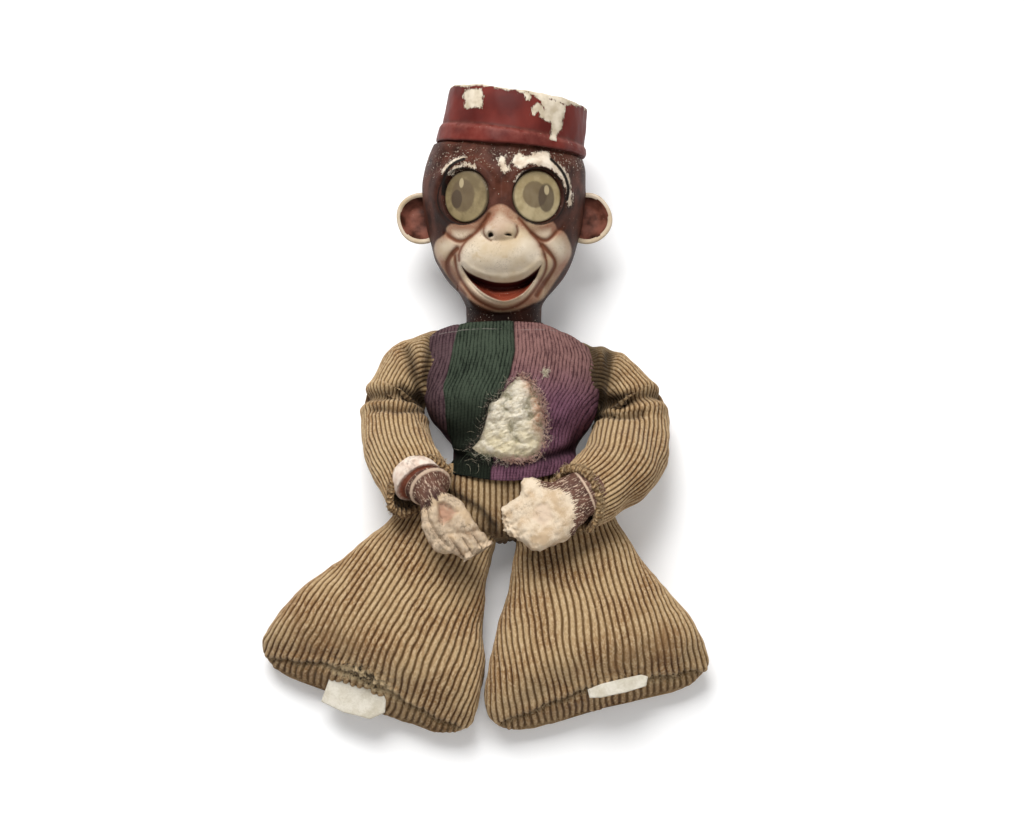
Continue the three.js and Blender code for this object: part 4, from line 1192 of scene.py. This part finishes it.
def make_head():
    rows, _, front = lofted(np.linspace(-8, 90, 235), head_frame, 290, 70, 400)
    front = np.broadcast_to(front, rows.shape[:2])
    past = rows[..., 0] - HAT_AT[0]
    brim = HAT_AT[1] + np.tan(HAT_TILT) * past + brim_rise(past)
    crown = 60 + (rows[..., 1] - 60) * (brim + 1.5 - 60) / 30
    rows[..., 1] = np.where(rows[..., 1] > 60, crown, rows[..., 1])
    x, y = rows[..., 0], rows[..., 1]
    far = face_marks(x, y)
    relief = face_relief(x, y, rows[..., 2], far) - rows[..., 2]
    rows[..., 2] += relief * ease(0.0, 12.0, rows[..., 2]) * front
    rows = sink_eyes(rows, front)
    rows = pushed(rows, waves(rows, 14, 71) * 0.25)
    under = ease(-1.6, 0.4, y - brim)
    wide = np.hypot(rows[..., 0] - HAT_AT[0], rows[..., 2])
    drawn = 1 + (np.minimum(35 / wide, 1) - 1) * under
    rows[..., 0] = HAT_AT[0] + (rows[..., 0] - HAT_AT[0]) * drawn
    rows[..., 2] = rows[..., 2] * drawn
    away = np.where(front, 0, AWAY)
    cream, socket = far["cream"], far["eye"] - EYE_RADIUS
    black = [far["ink"] - 0.8, far["nostril"] + 0.25, np.abs(socket - 0.9) - 0.35]
    lines = [far["bag"] - 0.25, far["smile"] - 0.55, far["side"] + 0.2, far["lip"] - 0.1, far["muzzle"]]
    blush = 0.95 * bell(cream + 0.5, 3.6) * ease(34, 50, y) + 0.5 * bell(cream + 0.5, 3.2)
    blush = blush + 0.55 * bell(far["smile"], 2.8) + 0.75 * bell(cream, 4) * ease(34, 22, y)
    blush = blush + 0.45 * bell(far["bag"], 2) + 0.5 * bell(np.hypot(x + 1.6, y - 43), 7)
    blush = blush + 0.3 * bell(far["muzzle"], 1.6) + 0.35 * bell(far["lip"], 1.8)
    marks = {
        "cream": cream + away,
        "mouth": far["mouth"] + away,
        "gum": far["gum"],
        "chip": np.minimum(far["chip"], far["scuff"] - 0.9) + away,
        "black": least(black) + away,
        "line": least(lines) + away,
        "lined": ease(1.5, -1, cream) * 0.95,
        "blush": np.clip(blush, 0, 1),
        "warm": ease(30, 66, y) * 0.3,
        "shade": np.clip(ease(3, -4, y) * 0.6 + 0.5 * bell(socket, 2.2), 0, 1),
        "worn": np.clip(0.75 * bell(y - 78, 9) + 0.25 + 0.4 * ease(20, 0, y), 0, 1) * 0.75,
    }
    made = mesh_of("head", from_head(rows), (False, False), marks, rows)
    dress(made, face_paint, "face_paint", "head", "head_shell")


EAR_RADIUS = 12.8
# Share of the radius and height of the ear's dish, its rim and its back
EAR_PROFILE = [(0.02, -2.6), (0.3, -2.4), (0.52, -1.6), (0.68, -0.2), (0.78, 1.3), (0.86, 2.2),
    (0.93, 2.5), (0.985, 2.0), (1.0, 1.0), (0.99, -0.4), (0.95, -2.2), (0.8, -4.4), (0.55, -6),
    (0.25, -6.6), (0.02, -6.7)]


def make_ear(word):
    """A dished ear, seen from the front as a half round rim standing off the head."""
    side = -1 if word == RIGHT else 1
    turn = np.linspace(0, 2 * pi, 120, endpoint=False)
    wide = 1.0 + 0.03 * np.cos(3 * turn + side)
    mid_x, mid_y = side * 41.8, 50.6
    rows = []
    for reach, out in even(np.array(EAR_PROFILE) * [EAR_RADIUS, 1], 52):
        flat = [mid_x + reach * wide * np.cos(turn), mid_y + reach * 1.02 * np.sin(turn)]
        rows.append(np.stack([*flat, np.full_like(turn, out + 0.5)], axis=1))
    rows = np.array(rows)
    up = rows[..., 1] - mid_y
    reach = np.hypot(rows[..., 0] - mid_x, up) / EAR_RADIUS
    inner = (np.arange(len(rows)) < 22)[:, None] & (reach < 0.84)
    rows[..., 2] -= bell(reach - 0.45, 0.18) * bell(up - 5, 6) * inner * 1.2
    marks = dict.fromkeys(("mouth", "gum", "chip", "black", "line"), AWAY)
    marks.update(cream=np.where(inner, 4 - (reach - 0.84) * 6, -4), lined=0.0, blush=0.15, warm=1.1,
                 shade=ease(0.5, 1, up / 12) * np.where(inner, 0.8, 0), worn=np.where(inner, 0.05, 0.3))
    made = mesh_of(f"ear_{word}", from_head(rows), (True, True), marks, rows)
    dress(made, face_paint, "face_paint", "head")


def in_eye(word, rows):
    """Points of an eye's own frame in the doll's."""
    spot, across, out = eye_frame(word)
    local = rows[..., :1] * across + rows[..., 1:2] * Y_WAY + rows[..., 2:] * out
    return from_head(spot + local)


def make_eye(word):
    """The ribbed eye disc with its soft iris, set under the rim of the socket."""
    disc = np.linspace(0.2, 12.2, 60)
    reach = np.concatenate([disc, [12.6, 12.9, 13.0, 13.0]])[:, None]
    high = np.concatenate([-1.0 - (disc / EYE_RADIUS) ** 2, [-2.0, -2.4, -2.8, -3.1]])[:, None]
    turn = np.linspace(0, 2 * pi, 150, endpoint=False)
    rings = np.broadcast_arrays(reach * np.cos(turn), reach * np.sin(turn), high)
    rows = np.stack(rings, axis=-1)
    made = mesh_of(f"eye_{word}", in_eye(word, rows), (True, False), {}, rows)
    dress(made, eye_finish(word), "eye_lens", "head", f"eye_lens_{word}", f"eye_print_{word}")


# Place and size of each print on its disc, and each disc's dark and light colours
EYE_PRINTS = {
    RIGHT: {"iris": [(-1.5, 0.4), (7.2, 8.2)], "pupil": [(-5.0, -1.2), (3.3, 4.6)],
            "glint": [(-2.2, 6.6), (1.5, 2.6)], "dark": "#6f5e3c", "light": "#9c8a62"},
    LEFT: {"iris": [(-1.6, 0.8), (6.5, 6.6)], "pupil": [(4.6, -0.6), (4.4, 7.0)],
           "glint": [(4.8, 3.2), (1.5, 2.6)], "dark": "#9a875d", "light": "#c3b189"},
}


def eye_finish(word):
    """Fine upright ribs over a printed iris and pupil."""
    f = Finish(f"eye {word}")
    across, up = [f.node("ShaderNodeSeparateXYZ", {}, [f.place], k) for k in (0, 1)]
    prints = EYE_PRINTS[word]

    def disc(at, size):
        x, y = (across - at[0]) / size[0], (up - at[1]) / size[1]
        return (x * x + y * y).power(0.5)

    ribs_on = (across * (2 * pi / 0.62)).wave() * 0.5 + 0.5
    mottle = f.noise(5, 3)
    grime = f.noise(1.3, 4, 0.7)
    # Mottled, and lighter towards the bottom of the disc: a painted reflection
    base = f.mix(prints["dark"], prints["light"], f.ramp(mottle - up * 0.02, 0.25, 0.75))
    iris = f.ramp(disc(*prints["iris"]) + (grime - 0.5) * 0.12, 1.08, 0.9)
    base = f.mix(base, "#5c4930", iris * 0.75)
    pupil = f.ramp(disc(*prints["pupil"]) + (grime - 0.5) * 0.1, 1.12, 0.9)
    base = f.mix(base, "#3d2c1c", pupil * 0.8)
    base = f.mix(base, "#cdbb92", f.ramp(disc(*prints["glint"]), 1.1, 0.7) * 0.75)
    base = f.mix(base, "#4a3920", (1 - ribs_on) * 0.35)
    # Painted shade round the edge of the disc, where it sits in the socket
    base = f.mix(base, "#2b1b10", f.ramp(disc((0, 0), (1, 1)), 11.6, 13.0) * 0.75)
    base = f.mix(base, "#d8c79c", f.ramp(f.noise(0.7, 4, 0.8), 0.66, 0.75) * 0.35)
    return f.surface(base, 0.34 + grime * 0.2, Normal=f.bump(ribs_on, 0.12), Specular_IOR_Level=0.45)


# Hat
HAT_CHIPS = [
    [(-19.2, 112.7), (-10.8, 112.7), (-10.3, 107.7), (-10.8, 102.8), (-14.3, 103.3), (-17.7, 102.8),
        (-20.2, 103.8), (-19.2, 107.7), (-20.7, 109.7)],
    [(9.9, 110.7), (13.4, 109.7), (12.9, 105.8), (10.9, 106.2)],
    [(14.4, 109.2), (20.3, 107.2), (25.7, 106.7), (30.7, 104.3), (29.2, 97.9), (28.7, 92.9),
        (26.2, 90), (25.7, 86.5), (22.3, 87), (23.8, 91.9), (23.3, 95.9), (20.3, 96.4),
        (17.8, 98.3), (16.8, 101.3), (14.9, 98.3), (13.4, 99.3), (13.9, 103.3), (16.8, 104.8),
        (20.3, 101.8), (18.3, 105.3)],
]
HAT_PROFILE = [(33.6, 0.4), (37.6, 0.35), (38.1, 1.2), (38.0, 4), (37.7, 7.4), (37.4, 8.4),
    (36.7, 9.0), (36.3, 9.6), (36.2, 11), (35.9, 18), (35.5, 25), (35.2, 27.8), (34.8, 28.7),
    (34.2, 29.0), (30, 29.1), (15, 29.15), (0.3, 29.15)]


def make_hat():
    reach, rise = even(np.array(HAT_PROFILE), 130).T[..., None]
    turn = np.linspace(0, 2 * pi, 320, endpoint=False)
    rings = np.broadcast_arrays(reach * np.sin(turn), rise, reach * np.cos(turn))
    rows = np.stack(rings, axis=-1)
    rows = pushed(rows, waves(rows, 18, 81) * 0.3 + waves(rows, 7, 82) * 0.1)
    high = rows[..., 1].copy()
    rows[..., 1] += brim_rise(rows[..., 0]) * ease(8, 0, high)
    c, s = cos(HAT_TILT), sin(HAT_TILT)
    x = HAT_AT[0] + rows[..., 0] * c - rows[..., 1] * s
    y = HAT_AT[1] + rows[..., 0] * s + rows[..., 1] * c
    placed = np.stack([x, y, rows[..., 2]], axis=-1)
    chips = least(to_shape(x, y, patch) for patch in HAT_CHIPS) + np.where(rows[..., 2] > -5, 0, AWAY)
    top_wear = 27.9 + 0.6 * waves(rows, 12, 83) + 0.4 * waves(rows, 3, 84)
    top_wear = top_wear - 1.8 * bell(x - 26, 9) - high
    top_wear = np.where(np.hypot(rows[..., 0], rows[..., 2]) > 33.2, top_wear, 3)
    marks = {
        "chip": np.minimum(chips, top_wear),
        # The band's ridge: a painted highlight, and where the paint is worn to specks
        "ridge_highlight_and_wear": bell(high - 8.2, 1.5) + 0.35 * ease(9, 5, high),
        "shade": np.clip(0.8 * bell(high - 9.8, 0.8) + 0.7 * ease(1.2, 0.2, high), 0, 1),
    }
    made = mesh_of("hat_cap", from_head(placed), (False, True), marks, placed)
    dress(made, red_paint(), "red_paint", "head", "hat")


face_paint = painted("painted face")
make_head()
for word in (RIGHT, LEFT):
    make_ear(word)
for word in (RIGHT, LEFT):
    make_eye(word)
make_hat()


# Hands: one casting each, from its wrist end to its broken fingers
HANDS = {
    RIGHT: {
        "at": (-42.41, -51.68), "axis": (0.5433, -0.8396),
        # along, across, height, lean in degrees, half width, top, low
        "wrist": [(-12.3, 1, 52.6, 22, 1, 1, 1), (-12.1, 1, 52.6, 22, 7.6, 7.6, 7.6),
            (-11.3, 1.4, 52.9, 22, 9, 9.6, 9.6), (-9, 1.6, 53.6, 22, 11, 11.6, 11.4),
            (-6.5, 1.8, 54.5, 22, 12, 12.4, 12), (-3.2, 2, 55.6, 22, 12.4, 12.6, 12),
            (-2.7, 2, 55.8, 22, 12.3, 12.3, 11.6), (-2.4, 2.4, 56, 23, 10, 10, 10),
            (-0.9, 3, 56.6, 25, 9.6, 9.6, 9.6), (-0.4, 3.6, 56.8, 27, 10.2, 10.2, 10),
            (0.8, 4.4, 57.3, 31, 10.8, 10.8, 10), (3, 5.2, 58, 38, 11, 11, 9.6),
            (3.6, 5.2, 58.4, 38, 10.3, 10.3, 9), (4.4, 5, 58.9, 36, 8.8, 8.6, 8.4),
            (6, 4.2, 59.5, 32, 7.4, 7.2, 7.6), (8, 3.2, 59.8, 24, 6.8, 6.6, 7.2)],
        "left": [(10.5, -5.2), (13, -6.6), (18, -8.7), (25.2, -9.9), (30.4, -9.3), (34.4, -5.6),
            (35.2, -2.7), (39, -1.6), (42, -0.6)],
        "right": [(10.5, 10.4), (13, 12.2), (18, 13.4), (26.4, 14.1), (34.7, 13.5), (37, 14.6),
            (42, 15.4)],
        "height": [(10.5, 59.4), (16, 58.9), (27, 57.6), (34, 56.4), (42, 54.6)],
        "top": [(10.5, 6.2), (16, 5.6), (27, 5.6), (33, 5), (38, 4), (42, 2.6)],
        "low": [(10.5, 6.6), (16, 6.2), (33, 5.6), (42, 3.6)],
        "fur": [(11.5, -6), (12.5, -1), (9.5, 2), (11, 5), (9.5, 9), (14, 13)],
        "recess": [(12.8, 3), (21.3, -1.2), (23.4, -0.3), (21.9, 9.7), (13.7, 6.8)],
        "knuckles": [(27.3, -8), (27.6, -1.3), (32.4, 7.3), (33.6, 14)], "fingers": [-0.5, 4.6, 9.9],
        "thumb": [(11, -2.5), (17, -5), (24, -5.6), (30, -4.5), (33, -3.5)], "carved": 1.0, "dull": 0.6,
        "flange_end": -2.6, "grooves": (-0.5, 3.4),
    },
    LEFT: {
        "at": (33.74, -54.94), "axis": (-0.8815, -0.4721),
        "wrist": [(-12.5, 0.6, 54, 8, 1, 1, 1), (-12.3, 0.6, 54, 8, 11, 10, 10),
            (-11.5, 0.6, 54, 8, 12.6, 11, 11), (-9, 0.6, 54.3, 8, 12.9, 11.4, 11),
            (-8.6, 0.6, 54.4, 8, 12.2, 10.8, 10.4), (-8.3, 0.6, 54.6, 9, 10.2, 9, 9),
            (-7, 0.6, 54.9, 10, 10, 8.8, 9), (-6.6, 0.6, 55, 10, 11.2, 9.4, 9),
            (-4.6, 0.7, 55.4, 10, 11.9, 9.4, 8.6), (-3, 0.7, 55.8, 9, 11.7, 8.2, 8)],
        "left": [(-1.4, -10.8), (1.1, -10.5), (4.6, -10.6), (8.4, -11.3), (11.1, -14.1),
            (14.2, -17.3), (18.2, -18.8), (20.7, -17.4), (22, -13.8), (23.8, -12.2), (30.1, -11.6),
            (34.6, -11.3), (35.8, -8.3), (36.6, -4), (37.6, -1)],
        "right": [(-1.4, 12.2), (0.7, 13), (5, 14.3), (9.8, 16.6), (16.2, 17.4), (23.5, 16.5),
            (28.1, 16.4), (31.4, 13.6), (32.7, 9.2), (35.1, 6.1), (37.6, 1)],
        "height": [(-1.4, 56.2), (8, 57.2), (20, 57.4), (30, 56.6), (37.6, 55.4)],
        "top": [(-1.4, 7.2), (8, 6.2), (20, 6), (30, 5.4), (37.6, 2.6)],
        "low": [(-1.4, 8), (8, 7), (30, 6), (37.6, 3)],
        "fur": [(13.5, -17), (11.5, -9), (6, -5), (2.5, 0), (2.5, 5), (4.5, 9), (9.5, 14.7), (13, 18)],
        "recess": [(14, -2), (20, -4), (25, 1), (22, 8), (15, 6)],
        "knuckles": [(24, -14), (27, -6), (28, 4), (29, 16)], "fingers": [-6.5, -1, 5.5],
        "thumb": [(9, -9), (15, -10), (20, -9), (24, -9.5)], "carved": 0.35, "dull": 0.1,
        "flange_end": -30, "grooves": (-6.8, -4.0),
    },
}


def hand_stations(hand):
    """The wrist's own stations and the palm's, run together and filled in between."""
    start, end = hand["left"][0][0], hand["left"][-1][0]
    keys = ("left", "right", "height", "top", "low")
    palm = []
    for t in np.linspace(start, end, 12 + int(end - start)):
        near, far, height, top, low = [np.interp(t, *zip(*hand[key])) for key in keys]
        palm.append((t, (near + far) / 2, height, 0, (far - near) / 2, top, low))
    # The lean counts for a tenth, so that it adds little to the way between two stations
    weigh = np.array([1, 1, 1, 0.1, 1, 1, 1])
    return even(np.array(hand["wrist"] + palm, float) * weigh, 230) / weigh


def make_hand(word):
    hand = HANDS[word]
    seed = 90 if word == RIGHT else 95
    stations = hand_stations(hand)
    flat = []
    for along, side, height, lean, half, top, low in stations:
        square = np.interp(along, [8, 14], [1.0, 0.72])
        over, under = section(half, top, low, square, square, 200)
        ring = np.vstack([even(over, 141)[:-1], even(under, 71)[:-1]])
        rise = np.array([-sin(radians(lean)), 0, cos(radians(lean))])
        flat.append(np.array([along, side, height]) + ring[:, :1] * Y_WAY + ring[:, 1:] * rise)
    flat = np.array(flat)
    t, u = flat[..., 0], flat[..., 1]
    first, last = hand["left"][0][0], hand["left"][-1][0]
    recess = to_shape(t, u, hand["recess"])
    knuckle = to_line(t, u, hand["knuckles"])
    thumb = to_line(t, u, hand["thumb"])
    past = t - line_at(hand["knuckles"], u)
    slots = least(np.abs(u - at) for at in hand["fingers"])
    lumpy = ease(first, first + 4, t) * (0.4 + 0.6 * hand["carved"])
    push = lumpy * (waves(flat, 9, seed) * 0.4 + waves(flat, 3.5, seed + 1) * 0.25)
    push = push + waves(flat, 2.2, seed + 2) * 0.08
    carved = hand["carved"] * (np.arange(flat.shape[1]) < 140)
    cut = 2.0 * ease(0.6, -1.6, recess) + 0.8 * bell(knuckle, 1.2) + 1.8 * bell(thumb, 1.1)
    push = push - cut * carved
    push = push - (1.5 * bell(slots, 0.9) * ease(0, 2.5, past) - 0.4 * ease(0, 3, past)) * carved
    push = push + ease(last - 5, last, t) * waves(flat, 2.6, seed + 3) * 0.8
    flat = pushed(flat, push)
    axis = np.array([*hand["axis"], 0])
    across = np.array([-axis[1], axis[0], 0])
    rows = np.array([*hand["at"], 0]) + flat[..., :1] * axis + flat[..., 1:2] * across
    rows = rows + flat[..., 2:] * Z_WAY
    station = np.broadcast_to(stations[:, :1], t.shape)
    shade = 0.5 * ease(-2, -8, flat[..., 2] - 56) + 0.4 * bell(station - hand["grooves"][0] + 0.8, 0.9)
    # Where painted shade darkens the carved finger slots, knuckles and thumb line
    crease_shade = least([slots + 3 * ease(2, 0, past), knuckle + 0.5, thumb + 0.2])
    marks = {
        "fur": t - line_at(hand["fur"], u),
        "flange": station - hand["flange_end"],
        "ring": least(np.abs(station - at) for at in hand["grooves"]),
        "pink": ease(0.8, -1.5, recess) * carved,
        "dull": hand["dull"],
        "crease_shade": crease_shade + AWAY * (1 - carved),
        "shade": np.clip(shade, 0, 0.8),
    }
    made = mesh_of(f"hand_cast_{word}", rows, (True, True), marks, flat)
    dress(made, hand_paint, "face_paint", f"hand_{word}", f"hand_{word}")


def hand_finish():
    """Cream palm, brown fur scratched through to the cream, a red groove and a bare flange."""
    f = Finish("painted hand")
    fine = f.noise(0.7, 4, 0.75)
    broad = f.noise(7, 3)
    streak = f.noise(1.0, 3, 0.7, f.stretched(0.3, 1.5, 1))
    cream = f.mix("#c2a888", "#e6d5bc", f.ramp(broad + (fine - 0.5) * 0.4, 0.3, 0.66))
    cream = f.mix(cream, "#9a7f63", f.mark("dull") * f.ramp(broad, 0.35, 0.7) * 1.7)
    cream = f.mix(cream, "#b9a06f", f.ramp(f.noise(4, 4, 0.7), 0.58, 0.75) * 0.5)
    cream = f.mix(cream, "#b48a72", f.mark("pink") * f.ramp(fine + broad * 0.5, 0.55, 0.85) * 0.8)
    veins = f.ramp((f.noise(3.2, 4, 0.7) - 0.5).size(), 0.012, 0.0) * f.ramp(f.noise(9, 2), 0.45, 0.6)
    veins = veins * (f.mark("dull") * 1.4 + 0.3)
    # Painted shade in the carved lines; it shares its dark colour with the crackle in the paint
    crease_shading = f.ramp(f.mark("crease_shade") + (fine - 0.5) * 1.8, 0.6, 0.05) * 0.8
    cream = f.mix(cream, "#4b3624", veins.most(crease_shading) * 0.8)
    brown = f.mix("#3a211c", "#684638", f.ramp(broad + fine * 0.4, 0.4, 0.85))
    flecks = f.ramp(streak + (fine - 0.5) * 0.3 - f.mark("fur").size() * 0.002, 0.54, 0.61)
    brown = f.mix(brown, "#d9c0a6", flecks * 0.85)
    furry = f.ramp(f.mark("fur") + (streak - 0.5) * 16, 0.6, -0.6)
    coat = f.mix(cream, brown, furry)
    rim = f.ramp(f.mark("ring") + (fine - 0.5) * 0.6, 0.6, 0.2)
    coat = f.mix(coat, "#d3b9a0", rim * 0.85)
    behind = f.ramp(f.mark("flange"), 2.4, 2.0)
    coat = f.mix(coat, f.mix("#6d3523", "#97543a", f.ramp(fine + broad * 0.4, 0.4, 0.9)), behind)
    bare = f.mix("#cdb29f", "#e9d8c8", f.ramp(broad, 0.35, 0.6))
    coat = f.mix(coat, bare, f.ramp(f.mark("flange") + (fine - 0.5) * 0.5, 0.2, -0.2))
    coat = f.mix(coat, "#24130c", f.mark("shade"))
    height = fine * 0.5 + veins * -0.6 + furry * streak * 0.5
    return f.surface(coat, 0.6 + fine * 0.15, Normal=f.bump(height, 0.4), Specular_IOR_Level=0.3)


hand_paint = hand_finish()
for word in (RIGHT, LEFT):
    make_hand(word)


# The tear: cotton swells out, with loose fibres and frayed yarn round it
def body_height(x, y):
    """The sweater's front surface over a point."""
    low_edge, high_edge = body_right(-y), body_left(-y)
    share = np.abs((x - (low_edge + high_edge) / 2) / ((high_edge - low_edge) / 2)).clip(0, 0.999)
    rise = (1 - share ** (2 / BODY_SQUARENESS)) ** (BODY_SQUARENESS / 2)
    return BODY_MIDDLE + body_top(-y) * rise


# Middle, half width and height of each lump of cotton
PUFFS = [(8.4, 1.0, 4.4, 1.8), (5.9, -3.6, 5.4, 2.4), (5, -9.2, 5, 2.6), (-3.3, -10.2, 4.6, 2.2),
    (-5.8, -15.7, 5, 2.4), (5.9, -15.2, 4.8, 2.4), (0.6, -17.7, 3.6, 1.4), (-9.2, -22.3, 4.6, 1.8),
    (-1.4, -23.8, 6.4, 3), (10.8, -21.8, 6.2, 3.4), (16.1, -21.8, 3.6, 2), (13.7, -7.1, 2.8, 1.6),
    (14.7, -12.2, 3, 2), (14.2, -16.7, 2.4, 2), (-7.7, -28.8, 6, 1.8), (-0.5, -30.8, 6.8, 2.4),
    (8.3, -29.2, 5, 1.8), (14.7, -28.8, 4.4, 2), (-13.5, -28.8, 4.4, 1)]
TORN_STRIP = [(11.5, 0), (14.6, -6), (15.8, -13), (16, -20)]
TEAR_MIDDLE = np.array([1.5, -19])


def lumps_at(flat):
    """Height of the cotton's lumps, and the distance to the middle of the nearest one."""
    spots = np.column_stack([flat, np.zeros(len(flat))])
    bent = flat + np.column_stack([waves(spots, 7, 110), waves(spots, 7, 111)]) * 1.5
    high, near = np.zeros(len(flat)), np.full(len(flat), 9.0)
    for px, py, wide, tall in PUFFS:
        reach = np.hypot(bent[:, 0] - px, bent[:, 1] - py) / wide
        high = fuller(high, tall * (1 - reach ** 2), 1.3)
        near = np.minimum(near, reach)
    rough = waves(spots, 4, 103) * 0.35 + waves(spots, 1.7, 104) * 0.16 + waves(spots, 0.9, 107) * 0.07
    return high + rough, near


def make_cotton():
    edge = even(loop(TEAR), 261)[:-1]
    middle = TEAR_MIDDLE
    uneven = 1 + 0.03 * waves(edge, 5, 108) + 0.02 * waves(edge, 2, 109)
    edge = middle + (edge - middle) * uneven[:, None]
    rows, nears = [], []
    for share in np.concatenate([[1.12, 1.08], np.linspace(1.03, 0.01, 90)]):
        flat = middle + (edge - middle) * share
        away = -to_shape(flat[:, 0], flat[:, 1], TEAR)
        ground = body_height(flat[:, 0], flat[:, 1])
        lumps, near = lumps_at(flat)
        swell = 1.6 * ease(-1.0, 5.0, away) - 2.2 * ease(1.0, -1.5, away)
        rows.append(np.column_stack([flat, ground + swell + lumps * ease(-0.5, 3, away)]))
        nears.append(near)
    rows, near = np.array(rows), np.array(nears)
    x, y = rows[..., 0], rows[..., 1]
    edge_on = bell(to_shape(x, y, TEAR), 1.4)
    marks = {
        "shade": np.clip(0.75 * ease(0.66, 0.98, near) + 0.2 * edge_on, 0, 0.8),
        "warm": np.clip(bell(to_line(x, y, TORN_STRIP), 3.2) + 0.3 * edge_on, 0, 1),
        "yellow": ease(-12, -30, y),
    }
    made = mesh_of("cotton", rows, (False, True), marks)
    dress(made, cotton_finish, "cotton", "torso", "torso_stuffing")


def make_loose_threads():
    chance = np.random.default_rng(7)
    wool, pale, dark, fringe, tuft = [], [], [], [], []
    edge = even(loop(TEAR), 400)
    for k in range(420):
        spot = edge[chance.integers(0, len(edge))]
        inward = unit(TEAR_MIDDLE - spot)
        way = inward * chance.normal(0.2, 0.7) + np.array([-inward[1], inward[0]]) * chance.normal(0, 1)
        start = spot - inward * chance.uniform(-1, 2.5)
        high = body_height(*start) + chance.uniform(0.3, 1.4)
        path = curl(chance, (*start, high), (*way, 0.3), chance.uniform(1.5, 6), 0.3)
        green = start[0] < line_at(SEAM_LINE, start[1]) + 1
        (pale if k % 3 == 0 else dark if green else wool).append(path)
    for _ in range(110):
        start = (chance.uniform(-20, 6), chance.uniform(-37, -29))
        high = body_height(*start) + chance.uniform(0.2, 1.0)
        way = (chance.normal(), chance.normal(-0.4), 0.2)
        path = curl(chance, (*start, high), way, chance.uniform(2, 7), 0.25, 0.1)
        (pale if chance.uniform() < 0.4 else dark).append(path)
    rim = even(np.array(TEAR[8:] + TEAR[:1], float), 300)
    for _ in range(760):
        start = rim[chance.integers(0, len(rim))] + chance.normal(size=2)
        high = body_height(*start) + chance.uniform(0.8, 2.6)
        way = chance.normal(size=3)
        fringe.append(curl(chance, (*start, high), way, chance.uniform(0.8, 2.5), 0.6, 0.2))
    for _ in range(500):
        px, py, wide, tall = PUFFS[chance.integers(0, len(PUFFS))]
        start = np.array([px, py]) + chance.normal(size=2) * wide * 0.5
        if to_shape(*start, TEAR) < -0.5:
            high = body_height(*start) + 1.5 + tall * 0.8
            way = chance.normal(size=3)
            pale.append(curl(chance, (*start, high), way, chance.uniform(1.5, 4), 0.5, -0.1))
    for _ in range(70):
        start = np.array(LINT) + chance.normal(size=2) * [0.5, 1.1]
        way = chance.normal(size=3)
        high = body_height(*LINT) + 1.0
        tuft.append(curl(chance, (*start, high), way, chance.uniform(1, 3.2), 0.5, 0.2))
    strands("cotton_fibres", pale, 0.045, fibre_pale, "cotton", "torso")
    strands("cotton_tuft", tuft, 0.1, fibre_pale, "cotton", "torso")
    strands("yarn_purple", wool, 0.06, fibre_wool, "purple_knit", "torso")
    strands("yarn_fringe", fringe, 0.12, fibre_pink, "purple_knit", "torso")
    strands("yarn_green", dark, 0.06, fibre_dark, "green_knit", "torso")


cotton_finish = cotton_wool()
fibre_wool = plain_cloth("purple yarn", "#7a5651", "#b08f88", "#5c3f3f")
fibre_pink = plain_cloth("torn edge yarn", "#b98a7a", "#dcbcaa", "#7a564c")
fibre_dark = plain_cloth("green yarn", "#252c20", "#5a6350", "#14160f")
make_cotton()
make_loose_threads()
